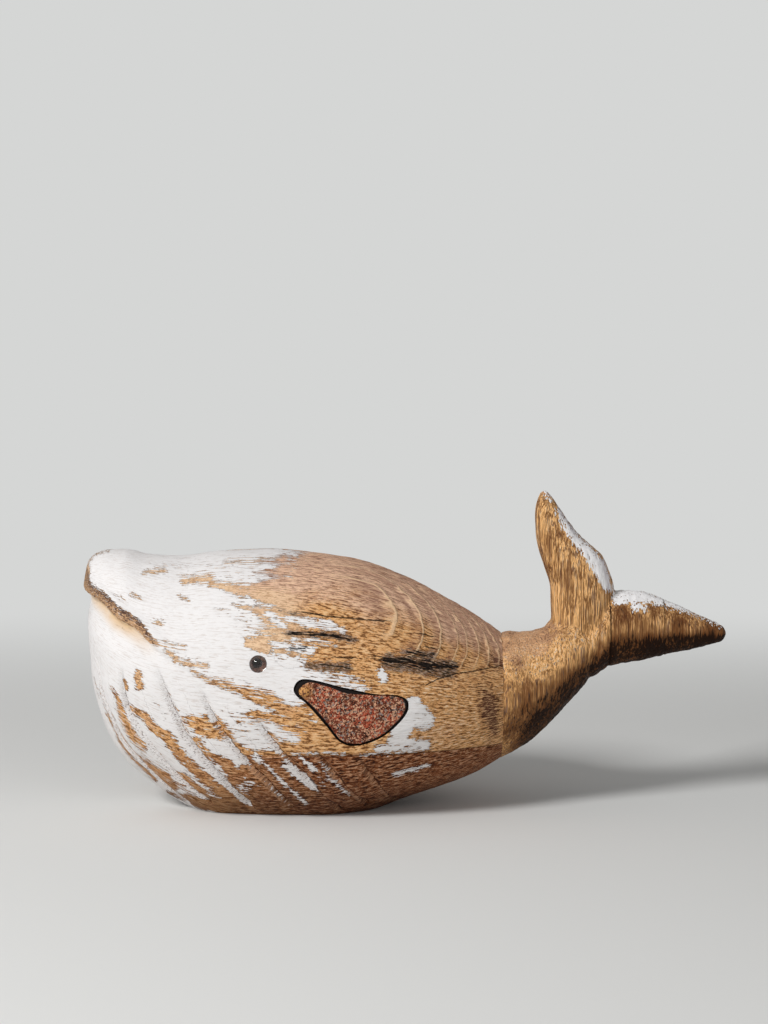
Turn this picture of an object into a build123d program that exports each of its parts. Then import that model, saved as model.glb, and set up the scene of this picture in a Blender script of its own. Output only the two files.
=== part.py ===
from build123d import *
import math
import os

# A carved wooden whale that rests on its flat belly, in millimetres. The nose points to -X, the
# tail to +X, the whale's left side to -Y, and the floor is Z = 0. The origin lies on the floor
# in the middle of the whale's length.

# Driving dimensions of the whole figure
whale_length = 318.0
body_length = 206.0
body_width = 122.0
body_height = 127.3
tail_height = 157.0
joint_diameter = 60.0
joint_height = 53.0

# Heights and lengths at which the wooden blocks are glued together
glue_height = 34.0
root_block_length = 53.5
mid_block_length = 27.0

# The two dowels that carry the tail on the body's end grain
dowel_diameter = 8.0
dowel_length = 44.0
dowel_spacing = 24.0
dowel_rise = 5.0
dowel_clearance = 0.1
dowel_end_room = 1.0

# Glass eyes on wire stems
eye_setback = 88.4
eye_height = 78.6
eye_diameter = 8.0
eye_dome_rise = 2.2
eye_glass_depth = 3.0
iris_thickness = 0.8
stem_diameter = 1.2
stem_length = 11.0
eye_clearance = 0.15

# Iron fins let into the flanks, each held by one nail through its front end
fin_setback = 105.7
fin_length = 53.4
fin_depth = 32.0
fin_top_height = 71.4
fin_thickness = 2.6
fin_recess = 0.7
fin_clearance = 0.4
fin_glue_gap = 0.15

# The nail in each fin
nail_setback = 4.6
nail_drop = 5.6
nail_head_diameter = 5.2
nail_head_rise = 1.6
nail_shank_diameter = 1.8
nail_length = 15.0
nail_clearance = 0.1
nail_seat_gap = 0.1

# The carved mouth line and throat grooves
mouth_width = 3.2
mouth_depth = 1.6
groove_width = 2.4
groove_depth = 1.3

# One overrun serves every cut
overrun = 2.0

nose_x = -whale_length / 2
joint_x = nose_x + body_length
tail_length = whale_length - body_length
joint_radius = joint_diameter / 2

# Slices of the body from nose to tail: place along the body's length, then crown, keel, half
# width and height of the widest line as shares of the body's height and half width. A keel
# below zero is cut off level where the whale rests.
nose_height_share = 0.864
body_slice_shares = [
    (0.0029, 0.931, 0.691, 0.131, 0.817),
    (0.0092, 0.961, 0.550, 0.279, 0.754),
    (0.0282, 0.987, 0.408, 0.434, 0.695),
    (0.0558, 0.999, 0.279, 0.566, 0.652),
    (0.0971, 0.998, 0.177, 0.689, 0.613),
    (0.1553, 0.978, 0.094, 0.795, 0.573),
    (0.2282, 0.971, 0.010, 0.877, 0.542),
    (0.3252, 0.991, -0.060, 0.943, 0.518),
    (0.4417, 0.999, -0.073, 0.984, 0.495),
    (0.5680, 0.976, -0.069, 1.000, 0.471),
    (0.6748, 0.940, -0.028, 0.970, 0.456),
    (0.7718, 0.880, 0.031, 0.902, 0.446),
    (0.8689, 0.797, 0.082, 0.770, 0.432),
    (0.9417, 0.724, 0.128, 0.631, 0.424),
]

# Slices of the tail: place and height of the middle as shares of the tail's length and height,
# pitch of the slice's normal in degrees, then half depth and half thickness as shares of the
# joint's radius. The stock climbs from the joint, and both flukes start inside it.
stock_slice_shares = [
    (0.170, 0.415, 30, 0.703, 0.833),
    (0.310, 0.504, 34, 0.607, 0.667),
    (0.388, 0.548, 38, 0.517, 0.533),
]
upper_slice_shares = [
    (0.335, 0.522, 90, 0.433, 0.433),
    (0.354, 0.599, 90, 0.487, 0.487),
    (0.357, 0.682, 90, 0.520, 0.460),
    (0.320, 0.775, 90, 0.510, 0.400),
    (0.240, 0.870, 90, 0.330, 0.300),
    (0.202, 0.949, 90, 0.183, 0.190),
    (0.193, 0.990, 90, 0.067, 0.087),
]
rear_slice_shares = [
    (0.312, 0.497, 0, 0.433, 0.433),
    (0.397, 0.510, 0, 0.553, 0.500),
    (0.496, 0.559, 0, 0.600, 0.467),
    (0.616, 0.568, 0, 0.567, 0.407),
    (0.727, 0.562, 0, 0.450, 0.333),
    (0.838, 0.553, 0, 0.313, 0.250),
    (0.928, 0.546, 0, 0.200, 0.173),
    (0.981, 0.543, 0, 0.117, 0.107),
]
upper_tip_share = 0.193
rear_tip_share = 0.543

# Lines carved in both flanks: points back from the nose and up from the floor, as shares of the
# body's length and height
mouth_line_shares = [
    (-0.010, 0.900),
    (0.040, 0.833),
    (0.115, 0.754),
    (0.196, 0.660),
    (0.250, 0.620),
    (0.310, 0.503),
    (0.390, 0.430),
    (0.502, 0.339),
]
groove_line_shares = [
    [(0.040, 0.519), (0.077, 0.360), (0.143, 0.208), (0.202, 0.115)],
    [(0.112, 0.442), (0.150, 0.330), (0.204, 0.217), (0.276, 0.095)],
    [(0.213, 0.513), (0.259, 0.341), (0.309, 0.216), (0.377, 0.095)],
    [(0.290, 0.537), (0.336, 0.383), (0.399, 0.240), (0.482, 0.089)],
    [(0.431, 0.393), (0.481, 0.279), (0.535, 0.185), (0.583, 0.089)],
    [(0.573, 0.260), (0.604, 0.192), (0.681, 0.046)],
    [(0.658, 0.251), (0.695, 0.164), (0.739, 0.059)],
]

# Outline of a fin: distance back from its front end and down from its top, as shares of its
# length and depth
fin_outline_shares = [
    (0.00, 0.15),
    (0.03, 0.04),
    (0.10, 0.00),
    (0.24, 0.04),
    (0.45, 0.14),
    (0.70, 0.23),
    (0.90, 0.26),
    (1.00, 0.36),
    (0.97, 0.58),
    (0.78, 0.87),
    (0.56, 1.00),
    (0.41, 0.94),
    (0.28, 0.67),
    (0.12, 0.37),
    (0.03, 0.25),
]


def oval(plane, half_width, rise, drop):
    """A closed slice of four quarter ellipses that share one widest line."""
    with BuildSketch(plane) as slice_face:
        with BuildLine():
            EllipticalCenterArc((0, 0), half_width, rise, 0, arc_size=90)
            EllipticalCenterArc((0, 0), half_width, rise, 90, arc_size=90)
            EllipticalCenterArc((0, 0), half_width, drop, 180, arc_size=90)
            EllipticalCenterArc((0, 0), half_width, drop, 270, arc_size=90)
        make_face()
    return slice_face.sketch


def joint_slice(growth):
    """The round slice where the body meets the tail."""
    plane = Plane(origin=(joint_x, 0, joint_height), x_dir=(0, 1, 0), z_dir=(1, 0, 0))
    radius = joint_radius + growth
    return oval(plane, radius, radius, radius)


def body_shape(growth):
    """The whole body as one lofted solid, with every slice grown by the same amount."""
    slices = [Vertex(nose_x, 0, nose_height_share * body_height)]
    for along, crown, keel, width, widest in body_slice_shares:
        middle = widest * body_height
        plane = Plane(
            origin=(nose_x + along * body_length, 0, middle), x_dir=(0, 1, 0), z_dir=(1, 0, 0)
        )
        rise = crown * body_height - middle + growth
        drop = middle - keel * body_height + growth
        slices.append(oval(plane, width * body_width / 2 + growth, rise, drop))
    slices.append(joint_slice(growth))
    with BuildPart() as body:
        loft(sections=slices)
        split(bisect_by=Plane.YZ.offset(joint_x), keep=Keep.BOTTOM)
    return body.part


def tail_slices(table):
    """Ovals across the tail, one for each line of a table of shares."""
    slices = []
    for along, height, pitch, depth, thickness in table:
        lean = math.radians(pitch)
        plane = Plane(
            origin=(joint_x + along * tail_length, 0, height * tail_height),
            x_dir=(0, 1, 0),
            z_dir=(math.cos(lean), 0, math.sin(lean)),
        )
        half_depth = depth * joint_radius
        slices.append(oval(plane, thickness * joint_radius, half_depth, half_depth))
    return slices


def stock_and_upper_fluke():
    """The stock that climbs from the joint, with the upper fluke standing on it."""
    upper_tip = Vertex(joint_x + upper_tip_share * tail_length, 0, tail_height)
    with BuildPart() as stock:
        loft(sections=[joint_slice(0)] + tail_slices(stock_slice_shares))
        loft(sections=tail_slices(upper_slice_shares) + [upper_tip])
        split(bisect_by=Plane.YZ.offset(joint_x), keep=Keep.TOP)
    return stock.part


def rear_fluke():
    """The rear fluke, from inside the stock to its tip."""
    rear_tip = Vertex(joint_x + tail_length, 0, rear_tip_share * tail_height)
    with BuildPart() as fluke:
        loft(sections=tail_slices(rear_slice_shares) + [rear_tip])
    return fluke.part


def fin_prism(growth):
    """A prism over the left flank with the fin's outline, grown by the same amount all round."""
    front = nose_x + fin_setback - growth
    top = fin_top_height + growth
    points = []
    for back, down in fin_outline_shares:
        x = front + back * (fin_length + 2 * growth)
        z = top - down * (fin_depth + 2 * growth)
        points.append((x, z))
    with BuildPart() as prism:
        with BuildSketch(Plane.XZ):
            with BuildLine():
                Spline(*points, periodic=True)
            make_face()
        extrude(amount=body_width)
    return prism.part


def flank_layer(growth, outer, inner):
    """The layer under the fin's outline between two shapes of the body."""
    with BuildPart() as layer:
        add(fin_prism(growth))
        add(body_shape(outer), mode=Mode.INTERSECT)
        add(body_shape(inner), mode=Mode.SUBTRACT)
    return layer.part


def carved_lines(lines, width, depth):
    """Cutters for lines carved into the surface on both flanks."""
    with BuildPart() as cutters:
        with BuildSketch(Plane.XZ):
            for line in lines:
                points = []
                for back, up in line:
                    points.append((nose_x + back * body_length, up * body_height))
                with BuildLine():
                    Spline(*points)
                trace(line_width=width)
        extrude(amount=body_width, both=True)
        add(body_shape(overrun), mode=Mode.INTERSECT)
        add(body_shape(-depth), mode=Mode.SUBTRACT)
    return cutters.part


def flank_plane(solid, x, z):
    """A plane on the left flank at a place seen from the side, with its normal pointing out."""
    line_of_sight = Axis((x, 0, z), (0, -1, 0))
    hits = solid.find_intersection_points(line_of_sight)
    point, normal = max(hits, key=lambda hit: -hit[0].Y)
    level = Vector(0, 0, 1).cross(normal)
    return Plane(origin=point, x_dir=level, z_dir=normal)


def bored(plane, diameter, depth):
    """A cutter for a blind bore, entered from above its plane."""
    with BuildPart(plane) as cutter:
        with Locations((0, 0, -depth)):
            Cylinder(
                radius=diameter / 2,
                height=depth + overrun,
                align=(Align.CENTER, Align.CENTER, Align.MIN),
            )
    return cutter.part


def dowel_bores(outward):
    """Cutters for both dowels, entered from the joint's face that looks outward."""
    with BuildPart() as cutters:
        for side in (-1, 1):
            seat = Plane(origin=dowel_place(side), x_dir=(0, 1, 0), z_dir=outward)
            add(bored(seat, dowel_diameter + 2 * dowel_clearance, dowel_length / 2 + dowel_end_room))
    return cutters.part


def dowel_place(side):
    """The middle of one dowel, on the joint's face."""
    return (joint_x, side * dowel_spacing / 2, joint_height + dowel_rise)


def finish(piece, label):
    """Names a piece and writes it to its own file."""
    piece.label = label
    export_step(piece, f"parts/{label}.step")


os.makedirs("parts", exist_ok=True)

plain_body = body_shape(0)
plain_stock = stock_and_upper_fluke()
plain_fluke = rear_fluke()

# Places on the left flank, found on the surface itself
eye_plane = flank_plane(plain_body, nose_x + eye_setback, eye_height)
fin_face = body_shape(-fin_recess)
nail_plane = flank_plane(
    fin_face, nose_x + fin_setback + nail_setback, fin_top_height - nail_drop
)

# Depths of the eye's socket and the wire hole behind it
iris_bottom = eye_glass_depth + iris_thickness
stem_bottom = iris_bottom + stem_length

# Cutters of the left flank
fin_floor = fin_recess + fin_thickness + fin_glue_gap
pocket_cutter = flank_layer(fin_clearance, overrun, -fin_floor)
socket_cutter = bored(eye_plane, eye_diameter + 2 * eye_clearance, iris_bottom)
wire_cutter = bored(
    eye_plane, stem_diameter + 2 * eye_clearance, stem_bottom + eye_clearance
)
pilot_cutter = bored(
    nail_plane, nail_shank_diameter + 2 * nail_clearance, nail_length + nail_clearance
)

# The body with everything cut into it, before it is parted at the glue line
with BuildPart() as carved_body:
    add(plain_body)
    split(bisect_by=Plane.XY, keep=Keep.TOP)
    for cutter in (pocket_cutter, socket_cutter, wire_cutter, pilot_cutter):
        add(cutter, mode=Mode.SUBTRACT)
        add(mirror(cutter, about=Plane.XZ), mode=Mode.SUBTRACT)
    add(carved_lines([mouth_line_shares], mouth_width, mouth_depth), mode=Mode.SUBTRACT)
    add(carved_lines(groove_line_shares, groove_width, groove_depth), mode=Mode.SUBTRACT)
    add(dowel_bores((1, 0, 0)), mode=Mode.SUBTRACT)

with BuildPart() as back_block:
    add(carved_body.part)
    split(bisect_by=Plane.XY.offset(glue_height), keep=Keep.TOP)
finish(back_block.part, "back_block")

with BuildPart() as belly_block:
    add(carved_body.part)
    split(bisect_by=Plane.XY.offset(glue_height), keep=Keep.BOTTOM)
finish(belly_block.part, "belly_block")

# The tail: the root block carries the stock and the upper fluke, and two more blocks glued to
# it side by side carry the rear fluke
root_end = Plane.YZ.offset(joint_x + root_block_length)
mid_end = Plane.YZ.offset(joint_x + root_block_length + mid_block_length)

with BuildPart() as tail_root_block:
    add(plain_fluke)
    split(bisect_by=root_end, keep=Keep.BOTTOM)
    add(plain_stock)
    add(dowel_bores((-1, 0, 0)), mode=Mode.SUBTRACT)
finish(tail_root_block.part, "tail_root_block")

with BuildPart() as fluke_mid_block:
    add(plain_fluke)
    split(bisect_by=root_end, keep=Keep.TOP)
    split(bisect_by=mid_end, keep=Keep.BOTTOM)
    add(plain_stock, mode=Mode.SUBTRACT)
finish(fluke_mid_block.part, "fluke_mid_block")

with BuildPart() as fluke_tip_block:
    add(plain_fluke)
    split(bisect_by=mid_end, keep=Keep.TOP)
finish(fluke_tip_block.part, "fluke_tip_block")

for side, label in ((-1, "tail_dowel_left"), (1, "tail_dowel_right")):
    with BuildPart(Plane(origin=dowel_place(side), z_dir=(1, 0, 0))) as tail_dowel:
        Cylinder(radius=dowel_diameter / 2, height=dowel_length)
    finish(tail_dowel.part, label)

# The fin and its nail
with BuildPart() as fin:
    add(flank_layer(0, -fin_recess, fin_glue_gap - fin_floor))
    add(pilot_cutter, mode=Mode.SUBTRACT)

# A nail about its own axis, with the face that it is driven into at zero height
nail_head_radius = nail_head_diameter / 2
shank_radius = nail_shank_diameter / 2
nail_tip = nail_seat_gap - nail_length
with BuildPart() as nail:
    with BuildSketch(Plane.XZ):
        with BuildLine():
            Polyline(
                (0, nail_seat_gap + nail_head_rise),
                (0, nail_tip),
                (shank_radius, nail_tip + nail_shank_diameter),
                (shank_radius, nail_seat_gap),
                (nail_head_radius, nail_seat_gap),
            )
            TangentArc(
                (0, nail_seat_gap + nail_head_rise),
                (nail_head_radius, nail_seat_gap),
                tangent=(1, 0),
            )
        make_face()
    revolve(axis=Axis.Z)

# An eye about its own axis, with the flank's surface at zero height: a glass dome on a painted
# disc, with a wire stem behind
eye_radius = eye_diameter / 2
with BuildPart() as eye_glass:
    with BuildSketch(Plane.XZ):
        with BuildLine():
            Polyline(
                (0, eye_dome_rise),
                (0, -eye_glass_depth),
                (eye_radius, -eye_glass_depth),
                (eye_radius, 0),
            )
            TangentArc((0, eye_dome_rise), (eye_radius, 0), tangent=(1, 0))
        make_face()
    revolve(axis=Axis.Z)

with BuildPart() as eye_iris:
    with BuildSketch(Plane.XY.offset(-iris_bottom)):
        Circle(eye_radius)
    extrude(amount=iris_thickness)

with BuildPart() as eye_stem:
    with BuildSketch(Plane.XY.offset(-stem_bottom)):
        Circle(stem_diameter / 2)
    extrude(amount=stem_length)

# Both flanks carry the same pieces
flank_pieces = (
    ("fin", Plane.XY, fin),
    ("fin_nail", nail_plane, nail),
    ("eye_glass", eye_plane, eye_glass),
    ("eye_iris", eye_plane, eye_iris),
    ("eye_stem", eye_plane, eye_stem),
)
for name, plane, piece in flank_pieces:
    with BuildPart() as left_flank:
        with Locations(plane):
            add(piece.part)
    finish(left_flank.part, f"{name}_left")
    with BuildPart() as right_flank:
        add(mirror(left_flank.part, about=Plane.XZ))
    finish(right_flank.part, f"{name}_right")
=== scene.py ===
"""The looks of a carved wooden whale: worn white paint over rough wood, rusted iron fins and glass eyes.

Tables and sizes are millimetres in the part's own frame: the nose points to -X, the tail to +X, the
whale's left side to -Y, and the floor is Z = 0. Meshes are written in metres.
"""

import logging
import math
from dataclasses import dataclass
from enum import Enum
from itertools import product

import bpy
import numpy as np
from bpy.types import Material, Node, NodeSocket as Socket, NodeTree, Object
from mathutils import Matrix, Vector

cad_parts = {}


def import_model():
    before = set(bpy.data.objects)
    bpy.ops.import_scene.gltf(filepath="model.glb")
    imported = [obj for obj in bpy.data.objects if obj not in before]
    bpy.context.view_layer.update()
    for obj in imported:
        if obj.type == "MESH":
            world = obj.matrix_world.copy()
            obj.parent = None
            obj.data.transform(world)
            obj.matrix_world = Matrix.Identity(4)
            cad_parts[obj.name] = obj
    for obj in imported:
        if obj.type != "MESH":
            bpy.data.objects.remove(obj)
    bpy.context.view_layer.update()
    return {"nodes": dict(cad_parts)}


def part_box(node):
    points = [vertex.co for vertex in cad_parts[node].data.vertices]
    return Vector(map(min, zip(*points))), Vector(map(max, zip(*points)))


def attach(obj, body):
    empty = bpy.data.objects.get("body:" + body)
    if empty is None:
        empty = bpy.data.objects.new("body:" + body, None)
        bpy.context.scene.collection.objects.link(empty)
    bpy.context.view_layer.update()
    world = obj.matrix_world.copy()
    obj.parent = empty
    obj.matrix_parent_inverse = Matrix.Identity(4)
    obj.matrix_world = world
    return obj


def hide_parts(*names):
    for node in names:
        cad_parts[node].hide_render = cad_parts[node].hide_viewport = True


LOG = logging.getLogger("whale")
MM = 0.001
BODY = "root"
MIRROR = np.array([1.0, -1.0, 1.0])

Array = np.ndarray
Cell = tuple[float, float, float] | float
Feed = Socket | tuple | float
Sockets = bpy.types.bpy_prop_collection


class Side(Enum):
    """The whale's two flanks, with the sign of Y on each."""

    LEFT = -1
    RIGHT = 1

    @property
    def word(self) -> str:
        """The side's name in lower case."""
        return self.name.lower()


class Slot(Enum):
    """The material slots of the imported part."""

    PAINTED_WOOD = "painted_wood"
    TAIL_WOOD = "tail_wood"
    DOWEL_WOOD = "dowel_wood"
    RUSTED_IRON = "rusted_iron"
    NAIL_IRON = "nail_iron"
    EYE_GLASS = "eye_glass"
    EYE_ENAMEL = "eye_enamel"
    STEM_WIRE = "stem_wire"


class Cut(Enum):
    """What a tool solid does to a base: takes its own room away, or keeps only that room."""

    AWAY = "DIFFERENCE"
    KEEP = "INTERSECT"


def ramp(value: Array, low: float, high: float) -> Array:
    """A cubic step that is 0 at low and 1 at high, level at both ends."""
    share = np.clip((value - low) / (high - low), 0.0, 1.0)
    return share * share * (3.0 - 2.0 * share)


def fade(value: Array, low: float, high: float) -> Array:
    """The smooth step turned round: 1 at low and 0 at high."""
    return 1.0 - ramp(value, low, high)


def hill(value: Array, middle: float, reach: float) -> Array:
    """A bell curve: 1 at the middle, falling as the square of the distance over the reach."""
    return np.exp(-(((value - middle) / reach) ** 2))


def corner_values(cells: Array, seed: int) -> Array:
    """A fixed value from -1 to 1 for each whole-numbered lattice corner, by mixing its three numbers.

    Args:
        cells: Whole numbers, three in the last axis.
        seed: Picks one of many such lattices.

    Returns:
        One value per corner.
    """
    factors = np.array([0x9E3779B97F4A7C15, 0xC2B2AE3D27D4EB4F, 0x165667B19E3779F9], np.uint64)
    mixed = (cells.astype(np.uint64) * factors).sum(axis=-1, dtype=np.uint64)
    mixed = mixed + np.uint64(seed * 7919 + 17) * np.uint64(0x27D4EB2F165667C5)
    mixed = (mixed ^ (mixed >> np.uint64(29))) * np.uint64(0xBF58476D1CE4E5B9)
    mixed = (mixed ^ (mixed >> np.uint64(32))) * np.uint64(0x94D049BB133111EB)
    return (mixed >> np.uint64(40)).astype(float) / float(1 << 23) - 1.0


def soft_noise(points: Array, seed: int) -> Array:
    """Smooth noise from -1 to 1: each point blends the values of its cell's eight corners.

    Args:
        points: Places in units of one cell, three in the last axis.
        seed: Picks the lattice.

    Returns:
        One value per point.
    """
    floor = np.floor(points)
    share = points - floor
    share = share**3 * (share * (share * 6.0 - 15.0) + 10.0)
    cells = floor.astype(np.int64)
    total = np.zeros(points.shape[:-1])
    for corner in product((0, 1), repeat=3):
        weights = np.where(np.array(corner) == 1, share, 1.0 - share).prod(axis=-1)
        total += weights * corner_values(cells + np.array(corner), seed)
    return total


def layered_noise(points: Array, cell: Cell, seed: int, layers: int = 2) -> Array:
    """Noise in several layers, each twice as fine and half as strong as the one before.

    Args:
        points: Places in millimetres.
        cell: The first layer's cell size in millimetres, one for all or along X, Y and Z.
        seed: Picks the lattices.
        layers: How many layers are added.

    Returns:
        Values from about -1 to 1.
    """
    total = np.zeros(points.shape[:-1])
    strength = 1.0
    for layer in range(layers):
        total += strength * soft_noise(points * 2.0**layer / np.array(cell) + 31.7 * layer, seed + layer)
        strength *= 0.5
    return total / (2.0 - 0.5 ** (layers - 1))


def even_curve(knots: Array, values: Array, at: Array) -> Array:
    """A cubic through the knots whose slopes are harmonic means of its neighbours, so it never overshoots.

    Args:
        knots: Rising places of the knots.
        values: One value per knot.
        at: Places to read.

    Returns:
        The curve's values.
    """
    steps = np.diff(knots)
    slopes = np.diff(values) / steps
    before, after = slopes[:-1], slopes[1:]
    first = 2.0 * steps[1:] + steps[:-1]
    second = steps[1:] + 2.0 * steps[:-1]
    same = before * after > 0
    safe_before = np.where(same, before, 1.0)
    safe_after = np.where(same, after, 1.0)
    inner = np.where(same, (first + second) / (first / safe_before + second / safe_after), 0.0)
    tangents = np.concatenate([slopes[:1], inner, slopes[-1:]])
    index = np.clip(np.searchsorted(knots, at) - 1, 0, len(steps) - 1)
    share = (at - knots[index]) / steps[index]
    rise = share**3 - 2.0 * share**2 + share
    fall = share**3 - share**2
    blend = 3.0 * share**2 - 2.0 * share**3
    start = (1.0 - blend) * values[index] + rise * steps[index] * tangents[index]
    return start + blend * values[index + 1] + fall * steps[index] * tangents[index + 1]


def closed_curve(points: Array, count: int) -> Array:
    """A closed smooth curve of cubic pieces, whose slope at a point is that of its neighbours' chord.

    Args:
        points: The corner points in order, two in the last axis.
        count: How many points the curve gets in all.

    Returns:
        Points evenly shared among the pieces.
    """
    at = np.linspace(0.0, len(points), count, endpoint=False)
    index = at.astype(int)
    share = (at - index)[:, None]
    before, here, there, after = (np.take(points, index + k, axis=0, mode="wrap") for k in (-1, 0, 1, 2))
    bend = 2.0 * before - 5.0 * here + 4.0 * there - after
    twist = 3.0 * (here - there) + after - before
    return here + 0.5 * share * (there - before + share * (bend + share * twist))


def lengths(rows: Array) -> Array:
    """The length of each row of numbers."""
    return np.linalg.norm(rows, axis=1)


def shares_along(line: Array) -> Array:
    """The share of an open line's length that is reached at each of its corners."""
    steps = lengths(np.diff(line, axis=0))
    return np.concatenate([[0.0], np.cumsum(steps)]) / steps.sum()


def line_distance(points: Array, line: Array) -> tuple[Array, ...]:
    """The nearest place on an open line of straight pieces.

    Args:
        points: Places, two or three numbers each.
        line: The line's corners.

    Returns:
        Distance, share of the line's length, offset from the line, and direction of the nearest piece.
    """
    reached = shares_along(line)
    nearest = np.full(len(points), np.inf)
    along = np.zeros(len(points))
    offset = np.zeros_like(points)
    heading = np.zeros_like(points)
    for number, (start, stop) in enumerate(zip(line[:-1], line[1:])):
        piece = stop - start
        share = np.clip((points - start) @ piece / (piece @ piece), 0.0, 1.0)
        gap = points - start - share[:, None] * piece
        distance = lengths(gap)
        closer = distance < nearest
        nearest = np.where(closer, distance, nearest)
        place = reached[number] + share * (reached[number + 1] - reached[number])
        along = np.where(closer, place, along)
        offset = np.where(closer[:, None], gap, offset)
        heading = np.where(closer[:, None], piece, heading)
    return nearest, along, offset, heading


def stroke_cover(places: Array, strokes: tuple, blur: float) -> Array:
    """How far places are covered by brush strokes: 1 inside, 0 outside, with a soft edge.

    Args:
        places: Places (x, z) in millimetres.
        strokes: Each stroke is points of (x, z, radius).
        blur: The width of the soft edge in millimetres.

    Returns:
        The largest cover that any stroke gives.
    """
    cover = np.zeros(len(places))
    for stroke in strokes:
        table = np.array(stroke, float)
        distance, along, _, _ = line_distance(places, table[:, :2])
        radius = np.interp(along, shares_along(table[:, :2]), table[:, 2])
        cover = np.maximum(cover, np.clip(0.5 + (radius - distance) / blur, 0.0, 1.0))
    return cover


def outline_depth(places: Array, outline: Array) -> Array:
    """The signed distance to a closed outline, positive inside, by the sides that a level ray crosses.

    Args:
        places: Places (x, z).
        outline: The outline's corners in order.

    Returns:
        One signed distance per place.
    """
    ring = np.vstack([outline, outline[:1]])
    distance = line_distance(places, ring)[0]
    inside = np.zeros(len(places), bool)
    for (x1, z1), (x2, z2) in zip(ring[:-1], ring[1:]):
        spans = (z1 > places[:, 1]) != (z2 > places[:, 1])
        height = z2 - z1 if z2 != z1 else 1.0
        crossing = x1 + (places[:, 1] - z1) * (x2 - x1) / height
        inside ^= spans & (places[:, 0] < crossing)
    return np.where(inside, distance, -distance)


@dataclass
class Hull:
    """The body before it is carved: upright slices of four quarter ellipses with one widest line.

    Each slice is (x, top, bottom, half width, height of the widest line). Between slices every size
    follows an even curve over the square root of the distance from the nose, so the nose is round.
    """

    slices: tuple = (
        (-159, 110, 109.9, 0, 110), (-158.4, 118.5, 88, 8, 104),
        (-157.1, 122.3, 70, 17, 96), (-153.2, 125.7, 52, 26.5, 88.5),
        (-147.5, 127.2, 35.5, 34.5, 83), (-139, 127.1, 22.5, 42, 78),
        (-127, 124.5, 12, 48.5, 73), (-112, 123.6, 1.3, 53.5, 69),
        (-92, 126.2, -7.6, 57.5, 66), (-68, 127.2, -9.3, 60, 63),
        (-42, 124.8, -8.8, 61, 60), (-20, 120.4, -3.6, 59.2, 58), (0, 112.8, 4, 55, 56.8),
        (20, 102.4, 10.4, 47, 55), (35, 93.6, 16.3, 38.5, 54), (47, 85.4, 23, 30.2, 54),
    )
    rows: int = 292
    columns: int = 416
    girth: float = 58.0
    least_size: float = 0.02
    probe: float = 0.04

    @property
    def nose(self) -> float:
        """X of the nose."""
        return self.slices[0][0]

    @property
    def joint(self) -> float:
        """X of the face that the tail is glued to."""
        return self.slices[-1][0]

    def sizes(self, x: Array) -> list[Array]:
        """Top, bottom, half width and widest height of the slices at x."""
        table = np.array(self.slices)
        knots = np.sqrt(table[:, 0] - self.nose)
        at = np.sqrt(np.clip(x, self.nose + 0.01, self.joint) - self.nose)
        return [even_curve(knots, table[:, column], at) for column in range(1, 5)]

    def travel(self) -> tuple[Array, Array]:
        """Fine steps of x, and the way over the surface from the nose to each of them."""
        fine = self.nose + np.linspace(0.05, math.sqrt(self.joint - self.nose), 4000) ** 2
        steps = np.diff(np.array([fine, *self.sizes(fine)[:3]]), axis=1)
        ways = np.hypot(steps[0], np.abs(steps[1:]).max(axis=0))
        return fine, np.concatenate([[0.0], np.cumsum(ways)])

    def in_slice(self, points: Array) -> tuple[Array, Array]:
        """Y and Z from the middle of each point's own slice, as shares of its half width and rise or drop."""
        top, bottom, width, level = self.sizes(points[..., 0])
        rise = points[..., 2] - level
        lift = np.where(rise > 0, top - level, level - bottom)
        return points[..., 1] / np.maximum(width, self.least_size), rise / np.maximum(lift, self.least_size)

    def grain(self, points: Array) -> Array:
        """Coordinates that run with the surface: the way from the nose, and the way round from the top."""
        turn = np.arctan2(*self.in_slice(points))
        along = np.interp(points[:, 0], *self.travel())
        return np.stack([along, self.girth * turn, 0.0 * turn], axis=-1)

    def grid(self) -> Array:
        """The surface as rows of slices, spaced evenly over the profile's length.

        Returns:
            Points (rows, columns, 3): x, half width times cosine, widest height plus rise or drop times sine.
        """
        fine, reached = self.travel()
        x = np.interp(np.linspace(0.0, reached[-1], self.rows), reached, fine)[:, None]
        top, bottom, width, level = self.sizes(x)
        turn = np.linspace(0.0, 2.0 * math.pi, self.columns, endpoint=False)[None, :]
        lift = np.where(np.sin(turn) > 0, top - level, level - bottom)
        return np.stack([x + 0.0 * turn, width * np.cos(turn), level + lift * np.sin(turn)], axis=-1)

    def depth_ratio(self, points: Array) -> Array:
        """The distance from a slice's centre as a ratio of its edge: 1 on the surface, less inside."""
        return np.hypot(*self.in_slice(points))

    def outward(self, points: Array) -> tuple[Array, Array]:
        """Unit normals and signed heights above the surface, from the slope of the depth ratio.

        Args:
            points: Places in millimetres.

        Returns:
            Normals, and the ratio's excess over 1 divided by its slope.
        """
        slopes = []
        for axis in np.eye(3) * self.probe:
            change = self.depth_ratio(points + axis) - self.depth_ratio(points - axis)
            slopes.append(change / (2.0 * self.probe))
        slope = np.stack(slopes, axis=-1)
        size = np.linalg.norm(slope, axis=-1)
        return slope / size[..., None], (self.depth_ratio(points) - 1.0) / size

    def flank(self, x: Array, z: Array, side: Side = Side.LEFT) -> Array:
        """Surface points at (x, z) on one flank."""
        top, bottom, width, level = self.sizes(x)
        lift = np.where(z > level, top - level, level - bottom)
        y = width * np.sqrt(np.clip(1.0 - ((z - level) / lift) ** 2, 0.0, 1.0))
        return np.stack([x, side.value * y, z], axis=-1)


def folded(values: Array, points: Array) -> Array:
    """Places or directions at points, with Y turned to the left flank, where the lines are written."""
    return values * np.where(points[..., 1:2] > 0, MIRROR, 1.0)


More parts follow.
